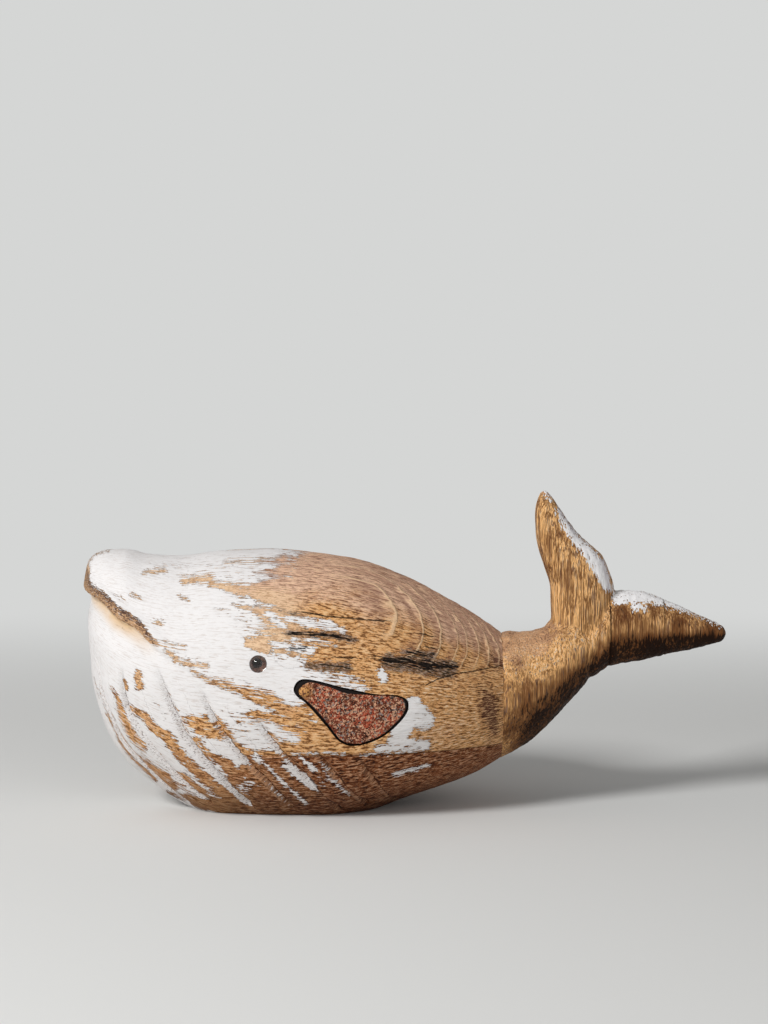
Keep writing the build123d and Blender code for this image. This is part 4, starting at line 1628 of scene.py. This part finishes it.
@dataclass
class Fin:
    """One iron fin in its pocket: the outline is shares of length back and of depth down from the top."""

    hull: Hull
    side: Side
    front: float = -53.3
    top: float = 71.4
    length: float = 53.4
    depth: float = 32.0
    thickness: float = 2.6
    recess: float = 0.7
    clearance: float = 0.5
    crust: float = 0.55
    middle_share: float = 0.47
    columns: int = 460
    rows: int = 86
    pocket_columns: int = 260
    pocket_rows: int = 14
    nail_back: float = 4.6
    nail_down: float = 5.6
    nail_head_radius: float = 2.6
    nail_head_rise: float = 1.6
    nail_shank_radius: float = 0.9
    nail_length: float = 15.0
    shares: tuple = (
        (0.00, 0.15), (0.03, 0.04), (0.10, 0.00), (0.24, 0.04), (0.45, 0.14), (0.70, 0.23), (0.90, 0.26),
        (1.00, 0.36), (0.97, 0.58), (0.78, 0.87), (0.56, 1.00), (0.41, 0.94), (0.28, 0.67), (0.12, 0.37),
        (0.03, 0.25),
    )

    def outline(self, growth: float, count: int) -> Array:
        """The fin's outline (x, z) as so many points, pushed outward from its middle by the growth."""
        curve = closed_curve(np.array(self.shares), count) * np.array([self.length, -self.depth])
        curve = curve + np.array([self.front, self.top])
        ray = curve - self.middle()
        return curve + growth * ray / lengths(ray)[:, None]

    def middle(self) -> Array:
        """The place (x, z) that the outline's rays start from."""
        share = self.middle_share
        return np.array([self.front + share * self.length, self.top - share * self.depth])

    def sheet(self, shares: Array, outline: Array, lift: Array) -> Array:
        """Rings from the middle to the outline, lifted off the flank along its normals.

        Args:
            shares: How far out each ring lies, from 0 to 1.
            outline: The outline (x, z).
            lift: Height above the flank for each ring and point.

        Returns:
            Points (rings, around, 3).
        """
        flat = self.middle() + shares[:, None, None] * (outline[None, :, :] - self.middle())
        ground = self.hull.flank(flat[..., 0], flat[..., 1], self.side)
        normals = self.hull.outward(ground)[0]
        return ground + normals * lift[..., None]

    def pocket(self) -> Object:
        """The solid that cuts the fin's pocket: from above the flank to just under the plate."""
        size = (self.pocket_rows, self.pocket_columns)
        outline = self.outline(self.clearance, self.pocket_columns)
        shares = np.linspace(0.06, 1.0, self.pocket_rows)
        under = self.sheet(shares, outline, np.full(size, -(self.recess + self.thickness + 0.2)))
        over = self.sheet(shares[::-1], outline, np.full(size, 6.0))
        return self.closed("pocket", np.concatenate([under, over]))

    def closed(self, name: str, rings: Array) -> Object:
        """A closed skin over rings, turned so that its faces look outward on this side."""
        if self.side is Side.LEFT:
            rings = rings[:, ::-1]
        return tube(name, rings, rings[0].mean(axis=0), rings[-1].mean(axis=0))

    def rim_and_shadow_width(self, ray: Array) -> Array:
        """The smooth rim's width at each outline point: wider at the upper front edge and both ends; the
        extra width at the upper front and front end is painted shadow of the pocket's wall.
        """
        way = ray / lengths(ray)[:, None]
        wide = 0.7 + 1.5 * np.clip(way @ np.array([-0.5, 0.87]), 0.0, 1.0)
        tip = way @ np.array([1.0, 0.1]) > 0.0
        x = ray[:, 0]
        return wide + 0.5 * tip * ramp(x, 18.0, 26.0) + 0.8 * ramp(-x, 18.0, 24.0)

    def crust_height(self, flat: Array) -> Array:
        """How far the rust stands up at each place: grains of two sizes on a slow swell."""
        grains = 0.55 * layered_noise(flat, 1.5, 41) + 0.45 * layered_noise(flat, 0.8, 43, 1)
        return self.crust * (0.35 + grains + 0.5 * layered_noise(flat, 9.0, 45))

    def plate(self) -> Object:
        """The iron plate: flat back, plain edge, smooth black rim and a crust of rust grains inside it."""
        outline = self.outline(0.0, self.columns)
        shares = np.linspace(0.02, 1.0, self.rows)
        ray = outline - self.middle()
        size = lengths(ray)
        inward = (1.0 - shares)[:, None] * size[None, :]
        wide = self.rim_and_shadow_width(ray)
        rim = fade(inward - wide[None, :], -0.25, 0.35)
        crust = self.crust_height(self.sheet(shares, outline, np.zeros((self.rows, self.columns))))
        bead = -0.35 + 0.30 * np.sqrt(np.clip(inward / (0.6 * wide[None, :]), 0.0, 1.0))
        lift = -self.recess + np.where(rim > 0.5, bead, crust * (1.0 - rim) + bead * rim)
        front = self.sheet(shares, outline, lift)
        back_shares = np.array([1.0, 0.6, 0.05])
        back = self.sheet(back_shares, outline, np.full((3, self.columns), -self.recess - self.thickness))
        made = self.closed(f"fin_plate_{self.side.word}", np.concatenate([back[::-1], front[::-1]]))
        self.dress(made, ray, wide)
        return made

    def dress(self, made: Object, ray: Array, wide: Array) -> None:
        """Writes the rim, with its painted shadow, and the stain by the nail into the plate.

        Args:
            made: The plate.
            ray: The way from the middle to each outline point.
            wide: The rim's width there.
        """
        places = mesh_points(made)[:, [0, 2]]
        toward = places - self.middle()
        turn = np.arctan2(toward[:, 1], toward[:, 0])
        turns = np.arctan2(ray[:, 1], ray[:, 0])
        order = np.argsort(turns)
        size = lengths(ray)
        reach = np.interp(turn, turns[order], size[order], period=2.0 * math.pi)
        width = np.interp(turn, turns[order], wide[order], period=2.0 * math.pi)
        inside = reach - lengths(toward) - width
        nail = lengths(places - self.nail_place()[[0, 2]])
        stain = fade(nail, 2.0, 5.5)
        write_fields(made, {"rim": fade(inside, -0.5, 0.5), "nail_stain": stain})

    def nail_place(self) -> Array:
        """The flank's point under the nail head."""
        x = np.array(self.front + self.nail_back)
        z = np.array(self.top - self.nail_down)
        return self.hull.flank(x, z, self.side)

    def nail(self) -> Object:
        """The nail: a flattened dome on a short shank, turned about the flank's normal."""
        rise = np.linspace(0.0, 0.5 * math.pi, 14)[1:]
        head = np.stack([self.nail_head_radius * np.sin(rise), self.nail_head_rise * np.cos(rise)], axis=1)
        shank = np.array([[self.nail_head_radius, -0.25], [self.nail_shank_radius, -0.3]])
        tail = np.array([[self.nail_shank_radius, -self.nail_length + 1.5], [0.15, -self.nail_length]])
        profile = np.concatenate([head, shank, tail])
        axis = self.hull.outward(self.nail_place()[None, :])[0][0]
        centre = self.nail_place() - axis * (self.recess - 0.35)
        made = turned(f"fin_nail_{self.side.word}_head", profile, centre, axis, 48)
        points = mesh_points(made)
        lumps = 0.12 * layered_noise(points, 1.1, 47)
        move_points(made, points + mesh_normals(made) * lumps[:, None])
        return made


def turned(name: str, profile: Array, centre: Array, axis: Array, around: int) -> Object:
    """A closed solid of revolution: each profile point (radius, height) becomes a ring about the axis.

    Args:
        name: The object's name.
        profile: Points from near the axis at the top, outward and down, back to near the axis.
        centre: The place of height 0 on the axis.
        axis: The direction of height, of length 1.
        around: Points in each ring.

    Returns:
        The new object, faces outward.
    """
    first = np.cross(axis, [0.0, 0.0, 1.0])
    first = first / np.linalg.norm(first)
    second = np.cross(axis, first)
    turn = np.linspace(0.0, 2.0 * math.pi, around, endpoint=False)
    spokes = np.cos(turn)[:, None] * first + np.sin(turn)[:, None] * second
    rings = centre + profile[:, None, :1] * spokes[None] + profile[:, None, 1:] * axis
    rings = rings[::-1]
    return tube(name, rings, rings[0].mean(axis=0), rings[-1].mean(axis=0))


@dataclass
class Eye:
    """One glass eye: a domed bead over the enamel disc that the CAD part carries."""

    side: Side
    radius: float = 4.0
    dome: float = 2.2
    iris_thickness: float = 0.8
    depth: float = 3.0
    socket_clearance: float = 0.15
    pupil_shift: tuple = (-0.45, 0.0, 0.4)

    def axis(self) -> tuple[Array, Array]:
        """The enamel disc's centre and the outward direction, from the boxes of the disc and its stem."""
        centres = []
        for node in (f"eye_iris_{self.side.word}", f"eye_stem_{self.side.word}"):
            low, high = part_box(node)
            centres.append((np.array(low) + np.array(high)) / 2.0 / MM)
        outward = centres[0] - centres[1]
        return centres[0], outward / np.linalg.norm(outward)

    def bead(self) -> Object:
        """The bead: a flat back, a plain wall and a round dome."""
        centre, outward = self.axis()
        ball = (self.radius**2 + self.dome**2) / (2.0 * self.dome)
        turn = np.linspace(0.02, math.asin(self.radius / ball), 24)
        cap = np.stack([ball * np.sin(turn), self.depth + self.dome - ball * (1.0 - np.cos(turn))], axis=1)
        profile = np.concatenate([cap, [[self.radius, 0.05], [0.1, 0.0]]])
        base = centre + outward * self.iris_thickness / 2.0
        return turned(f"eye_bead_{self.side.word}", profile, base, outward, 72)

    def socket(self) -> Object:
        """The solid that cuts the eye's hole."""
        centre, outward = self.axis()
        radius = self.radius + self.socket_clearance
        profile = np.array([[0.1, 9.0], [radius, 9.0], [radius, -0.6], [0.1, -0.6]])
        return turned("socket", profile, centre - outward * self.iris_thickness / 2.0, outward, 72)

    def pupil(self) -> tuple[float, float, float]:
        """The pupil's centre in millimetres: on the front of the disc, a little forward and up."""
        centre, outward = self.axis()
        place = centre + outward * self.iris_thickness / 2.0 + np.array(self.pupil_shift)
        return tuple(float(value) for value in place)


@dataclass
class WhaleBody:
    """The two body blocks: one carved shape, cut at the glue line, with pockets and sockets."""

    hull: Hull
    carving: Carving
    paint: PaintMap
    fins: list[Fin]
    eyes: list[Eye]
    room: float = 170.0

    def carved(self) -> Object:
        """The whole carved body as one closed skin."""
        grid = self.hull.grid()
        flat = grid.reshape(-1, 3)
        normals = self.hull.outward(flat)[0]
        shaped = flat + normals * self.carving.relief(flat, normals)[:, None]
        rings = shaped.reshape(grid.shape)
        rings[-1, :, 0] = self.hull.joint
        nose = rings[0].mean(axis=0) - np.array([0.05, 0.0, 0.0])
        return tube("carved_body", rings, nose, rings[-1].mean(axis=0))

    def dress(self, made: Object) -> None:
        """Writes the paint map, the insides of pockets and sockets, and the grain into a block."""
        points = mesh_points(made)
        normals, height = self.hull.outward(points)
        fields = self.paint.fields(points, normals)
        inner = np.zeros(len(points))
        for fin in self.fins:
            inside = outline_depth(points[:, [0, 2]], fin.outline(fin.clearance + 0.3, 90)) > 0
            same = points[:, 1] * fin.side.value > 0
            inner = np.where(inside & same & (height < -1.2), 1.0, inner)
        for eye in self.eyes:
            centre, outward = eye.axis()
            offset = points - centre
            along = offset @ outward
            away = lengths(offset - along[:, None] * outward)
            inner = np.where((away < eye.radius + 0.4) & (along < 2.4) & (along > -3.0), 1.0, inner)
        write_fields(made, {**fields, "inner": inner, "grain": self.hull.grain(points)})

    def build(self) -> None:
        """Carves the body, cuts it and shows both blocks."""
        whole = self.carved()
        tools = [fin.pocket() for fin in self.fins] + [eye.socket() for eye in self.eyes]
        for tool in tools:
            cut = combined(whole, tool, Cut.AWAY, "body_cut")
            discard(whole)
            whole = cut
        far = self.room
        line = self.carving.glue_height
        blocks = {"back_block": (line, far), "belly_block": (0.0, line)}
        for node, (low, high) in blocks.items():
            tool = box("block_room", (-far, -far, low), (far, far, high))
            made = combined(whole, tool, Cut.KEEP, f"{node}_carved")
            self.dress(made)
            show_piece(made, PaintedWood().material(), Slot.PAINTED_WOOD, node, edge=50.0)
        discard(whole)


@dataclass
class Tail:
    """The tail: a root block with the upright fluke, and two blocks that carry the rear fluke.

    A section is (x, z, pitch in degrees, half depth, half thickness); the pitch is the way the tail
    runs there, 0 to the rear and 90 upward.
    """

    joint: float = 47.0
    root_length: float = 53.5
    mid_length: float = 27.0
    stock: tuple = (
        (43, 51.5, 0, 31, 30), (47, 54, 0, 31, 30.2), (59.5, 59, 6, 26.8, 27.5),
        (68.5, 64.8, 14, 22.2, 24.5), (75, 70.2, 21, 19.2, 22), (81.2, 77, 32, 17.4, 20),
        (88.5, 84.5, 38, 16, 16.5),
    )
    upper: tuple = (
        (84.5, 82, 90, 13, 13), (86.6, 94, 90, 14.6, 14.6), (87, 107.1, 90, 15.6, 13.8),
        (82.8, 121.7, 90, 15.3, 12), (73.9, 136.6, 90, 9.9, 9), (69.6, 149, 90, 5.5, 5.7),
        (68.6, 155.4, 90, 2, 2.6), (68.6, 157, 90, 0.1, 0.1),
    )
    rear: tuple = (
        (81.9, 78, 0, 13, 13), (91.5, 80.1, 0, 16.6, 15), (102.6, 87.8, 0, 18, 14),
        (116, 89.2, 0, 17, 12.2), (128.4, 88.2, 0, 13.5, 10), (140.9, 86.8, 0, 9.4, 7.5),
        (150.9, 85.7, 0, 6, 5.2), (156.9, 85.2, 0, 3.5, 3.2), (159, 85.2, 0, 0.1, 0.1),
    )
    squareness: tuple[float, float, float] = (2.0, 2.5, 2.3)
    voxel: float = 0.66
    furrow_depth: float = 0.42
    loft_rings: int = 90
    loft_columns: int = 120
    room: float = 200.0
    white: tuple = (
        ((68.8, 156, 1), (70.5, 152.5, 1.2)),
        (
            (75.5, 147, 1.4), (79, 139.5, 2.4), (84.5, 132, 2.8), (90, 125.5, 3.4), (94.5, 119.5, 4.2),
            (97.5, 113, 3.6), (100, 108.5, 2),
        ),
        ((103.5, 103, 3), (108, 105, 3.6), (114, 104.6, 4.2)),
        ((114, 104.6, 4.2), (119, 104, 3), (126, 102, 2.4), (135, 99, 2)),
        ((135, 99, 2.4), (141, 97, 1.8), (150, 93, 1.2), (156, 89.8, 1)),
        ((112.5, 100, 2), (116, 99.5, 2.2)),
    )

    @property
    def first(self) -> float:
        """X of the glue line behind the root block."""
        return self.joint + self.root_length

    @property
    def second(self) -> float:
        """X of the glue line behind the middle block."""
        return self.first + self.mid_length

    def loft(self, name: str, table: tuple, power: float) -> Object:
        """A closed limb through its sections, each a rounded square of the given power.

        Args:
            name: The object's name.
            table: The sections in order.
            power: 2 is an ellipse, and more is squarer.

        Returns:
            The new object.
        """
        sections = np.array(table, float)
        steps = lengths(np.diff(sections[:, :2], axis=0))
        travel = np.concatenate([[0.0], np.cumsum(steps)])
        at = np.linspace(0.0, travel[-1], self.loft_rings)
        x, z, pitch, depth, half = (even_curve(travel, column, at)[:, None] for column in sections.T)
        turn = np.linspace(0.0, 2.0 * math.pi, self.loft_columns, endpoint=False)[None, :]
        side = np.sign(np.cos(turn)) * np.abs(np.cos(turn)) ** (2.0 / power) * half
        up = np.sign(np.sin(turn)) * np.abs(np.sin(turn)) ** (2.0 / power) * depth
        lean = np.radians(pitch)
        rings = np.stack([x - up * np.sin(lean), side, z + up * np.cos(lean)], axis=-1)
        return tube(name, rings, rings[0].mean(axis=0), rings[-1].mean(axis=0))

    def blended(self) -> Object:
        """The three limbs run together into one skin of small even faces, and smoothed."""
        points, faces, count = [], [], 0
        for table, power in zip((self.stock, self.upper, self.rear), self.squareness):
            part = self.loft("limb", table, power)
            points.append(mesh_points(part))
            faces += [[count + number for number in face.vertices] for face in part.data.polygons]
            count += len(part.data.vertices)
            discard(part)
        joined = object_from("tail_parts", np.concatenate(points), faces)
        remesh = joined.modifiers.new("even", "REMESH")
        remesh.mode = "VOXEL"
        remesh.voxel_size = self.voxel * MM
        smooth = joined.modifiers.new("smooth", "SMOOTH")
        smooth.factor = 0.5
        smooth.iterations = 14
        made = baked_copy(joined, "tail_skin")
        discard(joined)
        return made

    def furrows(self, points: Array) -> Array:
        """Upright furrows from -1 to 1: noise drawn out along Z, in a coarse and a fine layer."""
        coarse = layered_noise(points, (2.1, 2.1, 34.0), 61)
        fine = layered_noise(points, (1.3, 1.3, 9.0), 63, 1)
        return 0.65 * coarse + 0.35 * fine

    def relief(self, points: Array) -> Array:
        """Furrows, chisel facets and the steps at the glue lines, in millimetres off the smooth skin."""
        x, z = points[:, 0], points[:, 2]
        facets = 0.45 * layered_noise(points, (9.0, 9.0, 15.0), 65)
        low = fade(z, 80.0, 100.0)
        chips = 0.28 * low * layered_noise(points, (3.4, 3.4, 7.5), 67)
        under = fade(z, 101.0, 104.0)
        step = 0.35 * under * ramp(x, self.first - 0.1, self.first + 0.1)
        step = step - 0.2 * ramp(x, self.second - 0.1, self.second + 0.1)
        gaps = 0.5 * under * hill(x, self.first, 0.55) + 0.25 * hill(x, self.second, 0.5)
        joint = 0.2 * fade(x, self.joint, self.joint + 2.2)
        return self.furrow_depth * self.furrows(points) + facets + chips + step - gaps - joint

    def dress(self, made: Object) -> None:
        """Writes paint, furrows, painted shade for the underside and for rear-facing paint, and glue gaps
        into a block.
        """
        points = mesh_points(made)
        normals = mesh_normals(made)
        x, z = points[:, 0], points[:, 2]
        bend = np.where(points[:, 1] < 0, 0.4, 2.0)
        shift = np.stack([layered_noise(points, 8.0, seed) for seed in (71, 73)], axis=-1)
        cover = stroke_cover(points[:, [0, 2]] + bend[:, None] * shift, self.white, 4.5)
        # Painted shade: high where the surface faces down, on the rear blocks toward their bottom and tip,
        # and low on the stock by the body joint.
        slope = -normals[:, 2] - 0.45 * ramp(z, 80.0, 96.0)
        under = 1.2 * ramp(slope, -0.35, 0.65) * ramp(x, 44.0, 64.0)
        rear = ramp(x, 99.0, 102.0)
        base = 0.18 + 0.30 * ramp(96.0 - z, 2.0, 18.0)
        base = base + 0.16 * ramp(x, 122.0, 134.0)
        near = 0.22 * fade(x, 50.0, 60.0) * fade(z, 66.0, 72.0)
        seen = np.abs(x - self.first) + 3.0 * ramp(z, 100.0, 102.0)
        fields = {
            "paint": 2.6 * cover - 1.45 - 1.5 * fade(cover, 0.0, 0.15),
            "furrow": self.furrows(points),
            "dark": np.clip(under + rear * base + near, 0.0, 1.1),
            "weather": ramp(normals[:, 2], 0.35, 0.85) * fade(x, 66.0, 84.0),
            "gap": np.minimum(seen, np.abs(x - self.second) + 0.15),
            "rough": 0.9 * ramp(96.0 - z, 0.0, 12.0) * (1.0 - rear) + 0.25,
            # Painted shade on white paint that faces the rear.
            "shaded_white": 0.7 * (ramp(normals[:, 0], 0.55, 0.85) * (1.0 - rear)),
        }
        write_fields(made, fields)

    def build(self) -> None:
        """Blends, carves and cuts the tail, and shows its three blocks."""
        skin = self.blended()
        points = mesh_points(skin)
        move_points(skin, points + mesh_normals(skin) * self.relief(points)[:, None])
        far = self.room
        blocks = {
            "tail_root_block": (self.joint, self.first),
            "fluke_mid_block": (self.first, self.second),
            "fluke_tip_block": (self.second, far),
        }
        for node, (low, high) in blocks.items():
            tool = box("block_room", (low, -far, -far), (high, far, far))
            made = combined(skin, tool, Cut.KEEP, f"{node}_carved")
            self.dress(made)
            show_piece(made, TailWood().material(), Slot.TAIL_WOOD, node, edge=50.0)
        discard(skin)


@dataclass
class Studio:
    """A pale floor that curves up into a backdrop, soft light from the front left and the camera."""

    camera_place: tuple[float, float, float] = (-0.0110, -1.1914, 0.2532)
    camera_pitch: float = 5.16
    lens: float = 85.0
    sensor: float = 36.0
    floor_tone: tuple = tone(224, 224, 222)
    wall_tone: tuple = tone(213, 214, 213)
    half_width: float = 5.0
    front_edge: float = -3.0
    bend_start: float = 2.0
    bend_radius: float = 1.2
    wall_top: float = 5.0
    aim: tuple[float, float, float] = (0.0, 0.0, 0.06)
    world_light: float = 0.29

    def sweep(self) -> None:
        """The floor and backdrop: a straight floor, a quarter round and a straight wall, in metres."""
        turn = np.linspace(0.0, 0.5 * math.pi, 24)
        bend = np.stack([np.sin(turn), 1.0 - np.cos(turn)], axis=1) * self.bend_radius
        start = [[self.front_edge, 0.0]]
        top = [[self.bend_start + self.bend_radius, self.wall_top]]
        profile = np.concatenate([start, bend + np.array([self.bend_start, 0.0]), top])
        rows = [[(x, y, z) for x in (-self.half_width, self.half_width)] for y, z in profile]
        count = len(profile) - 1
        faces = [(2 * i, 2 * i + 1, 2 * i + 3, 2 * i + 2) for i in range(count)]
        floor = object_from("studio_floor", np.array(rows) / MM, faces)
        floor.data.polygons.foreach_set("use_smooth", np.ones(count, bool))
        floor.data.materials.append(self.finish())

    def finish(self) -> Material:
        """A plain floor that turns into an even glow toward the backdrop, for the camera's eyes only."""
        made = bpy.data.materials.new("studio floor")
        made.use_nodes = True
        pen = Pen(made.node_tree)
        plain = pen.fill(made.node_tree.nodes["Principled BSDF"], Base_Color=self.floor_tone, Roughness=0.9)
        glow = pen.fill(pen.put("ShaderNodeEmission"), Color=self.wall_tone)
        path = pen.put("ShaderNodeLightPath").outputs
        seen = pen.calc("MAXIMUM", path["Is Camera Ray"], path["Is Glossy Ray"])
        seen = pen.calc("MAXIMUM", seen, path["Is Transmission Ray"])
        far = pen.axes(pen.put("ShaderNodeTexCoord").outputs["Object"])["Y"]
        blend = pen.put("ShaderNodeMixShader")
        pen.feed(blend.inputs[0], pen.times(seen, pen.step(far, 0.18, 0.75)))
        pen.feed(blend.inputs[1], plain["BSDF"])
        pen.feed(blend.inputs[2], glow[0])
        pen.fill(made.node_tree.nodes["Material Output"], Surface=blend.outputs[0])
        return made

    def lamp(self, name: str, place: tuple, size: float, power: float) -> None:
        """A square soft lamp that looks at the whale.

        Args:
            name: The lamp's name.
            place: Where it stands, in metres.
            size: Its side in metres.
            power: Its strength in watts.
        """
        light = bpy.data.lights.new(name, "AREA")
        light.size = size
        light.energy = power
        made = bpy.data.objects.new(name, light)
        made.location = place
        made.rotation_euler = (Vector(self.aim) - Vector(place)).to_track_quat("-Z", "Y").to_euler()
        bpy.context.scene.collection.objects.link(made)

    def build(self) -> None:
        """Sets up floor, lamps, world, camera and view."""
        scene = bpy.context.scene
        self.sweep()
        self.lamp("key", (-1.05, -1.0, 1.15), 0.5, 24.0)
        self.lamp("fill", (1.3, -1.5, 0.8), 1.4, 4.5)
        scene.world = bpy.data.worlds.new("studio")
        scene.world.use_nodes = True
        tree = scene.world.node_tree
        Pen(tree).fill(tree.nodes["Background"], Color=(1.0, 1.0, 1.0, 1.0), Strength=self.world_light)
        data = bpy.data.cameras.new("camera")
        data.lens = self.lens
        data.sensor_width = self.sensor
        scene.camera = bpy.data.objects.new("camera", data)
        scene.camera.location = self.camera_place
        scene.camera.rotation_euler = (math.radians(90.0 - self.camera_pitch), 0.0, 0.0)
        scene.collection.objects.link(scene.camera)
        scene.view_settings.view_transform = "Standard"


def dress_hidden_nodes(nodes: dict[str, Object], eyes: list[Eye]) -> None:
    """Gives each CAD node that is still shown its own finish.

    Args:
        nodes: The CAD nodes by name.
        eyes: The eyes, for the pupils' places.
    """
    enamel = EyeEnamel(pupils=tuple(eye.pupil() for eye in eyes))
    finishes = {
        "eye_iris": (enamel, Slot.EYE_ENAMEL),
        "eye_stem": (StemWire(), Slot.STEM_WIRE),
        "tail_dowel": (PlainWood(), Slot.DOWEL_WOOD),
    }
    for stem, (finish, slot) in finishes.items():
        for side in Side:
            node = nodes[f"{stem}_{side.word}"]
            node.data.materials.clear()
            node.data.materials.append(finish.material())


def main() -> None:
    """Builds the whale and sets up the studio."""
    logging.basicConfig(level=logging.INFO, format="%(name)s %(message)s")
    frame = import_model()
    hull = Hull()
    carving = Carving(hull)
    fins = [Fin(hull, side) for side in Side]
    eyes = [Eye(side) for side in Side]
    WhaleBody(hull, carving, PaintMap(carving), fins, eyes).build()
    Tail().build()
    for fin in fins:
        show_piece(fin.plate(), RustedIron().material(), Slot.RUSTED_IRON, f"fin_{fin.side.word}", edge=70.0)
        show_piece(fin.nail(), NailIron().material(), Slot.NAIL_IRON, f"fin_nail_{fin.side.word}", edge=50.0)
    for eye in eyes:
        show_piece(eye.bead(), EyeGlass().material(), Slot.EYE_GLASS, f"eye_glass_{eye.side.word}", edge=60.0)
    dress_hidden_nodes(frame["nodes"], eyes)
    Studio().build()


if __name__ == "__main__":
    main()
